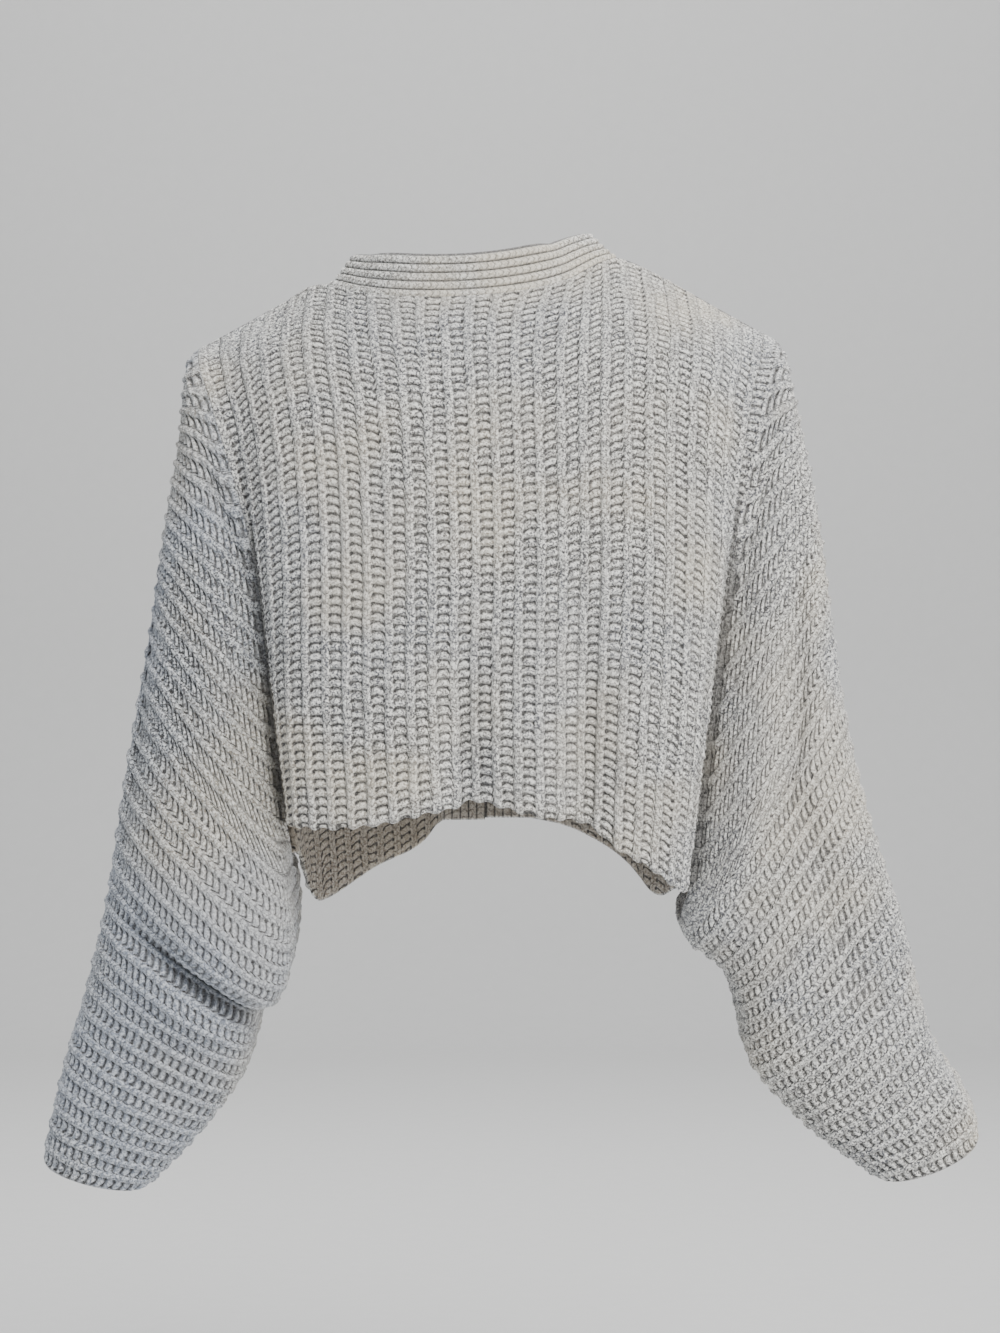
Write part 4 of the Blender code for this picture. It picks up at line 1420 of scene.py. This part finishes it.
@dataclass(frozen=True)
class Studio:
    """Pale sweep, soft lights and the camera. Places and sizes are metres."""

    camera_place: Place = (0.0114, -2.4, -0.286)
    lens: float = 85.3
    sensor: float = 36.0
    floor_z: float = -1.05
    wall_y: float = 4.6
    sweep_radius: float = 0.8
    half_width: float = 5.0
    near_y: float = -5.0
    wall_height: float = 4.0
    sweep_points: int = 17
    paper: tuple[Colour, Colour] = ((0.70, 0.70, 0.69, 1.0), (0.74, 0.74, 0.73, 1.0))
    paper_noise: tuple[float, float, float] = (40.0, 3.0, 0.5)
    paper_roughness: float = 0.9
    air: Colour = (0.9, 0.93, 1.0, 1.0)
    air_strength: float = 0.28
    lamps: tuple[Lamp, ...] = (
        Lamp("key", (0.6, -2.2, 1.7), 1.1, 88.0, (1.0, 0.985, 0.955)),
        Lamp("fill", (2.3, -1.8, 0.0), 2.0, 37.0, (1.0, 0.98, 0.95)),
        Lamp("cool_fill", (-2.4, -0.9, -0.3), 1.8, 11.0, (0.80, 0.89, 1.0)),
        Lamp("top", (0.0, 0.6, 2.2), 2.0, 24.0),
        Lamp("front_side", (0.3, 2.2, 1.6), 1.6, 34.0),
        Lamp("backdrop", (0.0, 1.9, 2.9), 2.4, 95.0, aim=(0.0, 4.6, 0.0)),
    )

    def sweep(self) -> None:
        """Make the floor that turns up into the backdrop."""
        radius = self.sweep_radius
        turns = 0.25 * TURN * shares_of(self.sweep_points)
        line = [(self.near_y, self.floor_z)]
        line += [(self.wall_y - radius + radius * math.sin(t), self.floor_z + radius - radius * math.cos(t))
                 for t in turns]
        line.append((self.wall_y, self.wall_height))
        points = [(x, y, z) for y, z in line for x in (-self.half_width, self.half_width)]
        faces = [(2 * n, 2 * n + 1, 2 * n + 3, 2 * n + 2) for n in range(len(line) - 1)]
        mesh = bpy.data.meshes.new("studio_sweep")
        mesh.from_pydata(points, [], faces)
        mesh.shade_smooth()
        shader = Shader("pale paper")
        grain = shader.noise(*self.paper_noise)
        shader.dress(Base_Color=shader.mix(grain, *self.paper), Roughness=self.paper_roughness)
        mesh.materials.append(shader.material)
        floor = bpy.data.objects.new("studio_sweep", mesh)
        bpy.context.scene.collection.objects.link(floor)

    def build(self) -> None:
        """Set the sweep, the lights, the world and the camera."""
        self.sweep()
        for lamp in self.lamps:
            lamp.build()
        world = bpy.data.worlds.new("studio")
        world.use_nodes = True
        background = world.node_tree.nodes["Background"]
        background.inputs[0].default_value = self.air
        background.inputs[1].default_value = self.air_strength
        bpy.context.scene.world = world
        lens = bpy.data.cameras.new("camera")
        lens.lens = self.lens
        lens.sensor_width = self.sensor
        camera = bpy.data.objects.new("camera", lens)
        bpy.context.scene.collection.objects.link(camera)
        camera.location = self.camera_place
        camera.rotation_euler = (0.25 * TURN, 0.0, 0.0)
        bpy.context.scene.camera = camera


def left_sleeve(body: Body) -> Sleeve:
    """The sleeve at the left of the picture, with its hanging lobe."""
    return Sleeve(
        body, Side.LEFT,
        arm_line=(
            # x, y, z
            (-216.6, 0, -47), (-223, 0, -58), (-224.4, 0, -84), (-228, 1, -121),
            (-239.2, 2, -181), (-250.4, 4, -263), (-269.6, 8, -372), (-281.2, 11, -455),
            (-299.8, 15, -531), (-316.8, 18, -582), (-333.6, 22, -656),
        ),
        under_line=(
            # x, y, z
            (-148, 0, -438), (-144, 0, -466), (-146, 2, -497), (-153, 4, -519),
            (-170, 7, -531), (-174.5, 10, -556), (-178, 12.5, -574),
            (-188, 15, -596), (-224, 19, -641), (-257, 22, -672),
        ),
        girth=(
            # rib, back_depth, front_depth, sag
            (0, 12, 12, 0), (3, 62, 60, 4), (8, 84, 82, 8),
            (17, 92, 88, 12), (26, 90, 78, 14), (31, 72, 68, 13),
            (40, 50, 52, 11),
        ),
        folds=(
            # middle_rib, half_ribs, share, half_share, inward, raised
            (14, 9, 0.80, 0.08, 9, 0), (24, 3.2, 0.36, 0.36, -13, -14),
            (27, 0.9, 0.38, 0.30, 17, 8), (29, 1.1, 0.46, 0.14, -5, 0),
            (33, 2, 0.45, 0.20, 4, 0), (15, 8, 0.79, 0.03, 7, 0),
        ),
    )


def right_sleeve(body: Body) -> Sleeve:
    """The sleeve at the right of the picture."""
    return Sleeve(
        body, Side.RIGHT,
        arm_line=(
            # x, y, z
            (220.4, 0, -40.3), (224.5, 0, -52), (227.4, 0, -72), (235, 1, -103),
            (247.2, 2, -163), (262.6, 4, -281), (274.2, 7, -346), (295.6, 10, -424),
            (314.6, 13, -474), (327.8, 16, -538), (343, 19, -582), (368, 21, -615),
            (373.5, 22, -636),
        ),
        under_line=(
            # x, y, z
            (151, 0, -474), (149, 0, -484), (163, 2, -492), (182, 5, -506),
            (194, 9, -541), (198.5, 13, -574), (214, 15.5, -594), (247, 18.5, -627),
            (297, 22, -661),
        ),
        girth=(
            # rib, back_depth, front_depth, sag
            (0, 12, 12, 0), (3, 62, 60, 4), (8, 84, 82, 8),
            (17, 90, 86, 14), (26, 82, 76, 17), (33, 66, 64, 17),
            (40, 52, 52, 17),
        ),
        folds=(
            # middle_rib, half_ribs, share, half_share, inward, raised
            (15, 8, 0.55, 0.10, 6, 0), (28, 3.5, 0.62, 0.12, 5, 0),
            (20, 6, 0.30, 0.16, -5, 0), (21, 7, 0.60, 0.05, 5, 0),
        ),
        # The painted shade in the deep fold is darker on this side.
        fold_darkness=1.6,
    )


def main() -> None:
    """Build every piece, dress it and light it."""
    logging.basicConfig(level=logging.INFO, format="%(name)s: %(message)s")
    body = Body(Cloth())
    makers = (BackPanel(body), FrontPanel(body, Side.LEFT), FrontPanel(body, Side.RIGHT),
              left_sleeve(body), right_sleeve(body), Neckband(body))
    plain = HeatherWool()
    wools = {
        # Painted shade: the left sleeve gets a darker, bluer copy of the wool for the cool shade that its
        # side lies in.
        "sleeve_left_crochet": HeatherWool(
            grey=(0.30, 0.325, 0.36, 1.0), pale=replace(plain.pale, colour=(0.78, 0.80, 0.81, 1.0)),
            warm=replace(plain.warm, share=0.3), cool=replace(plain.cool, share=0.4)),
        "neckband_crochet": HeatherWool(
            Pattern.CORDS, grey=(0.62, 0.60, 0.56, 1.0), warm=replace(plain.warm, share=0.6),
            fleck=replace(plain.fleck, colour=(0.2, 0.19, 0.17, 1.0))),
    }
    for maker in makers:
        piece = maker.build()
        wool = wools.get(piece.name, plain)
        piece.data.materials.append(wool.build("heather wool " + piece.name.replace("_", " ")))
        LOG.info("%s: %d faces", piece.name, len(piece.data.polygons))
    Studio().build()


if __name__ == "__main__":
    main()
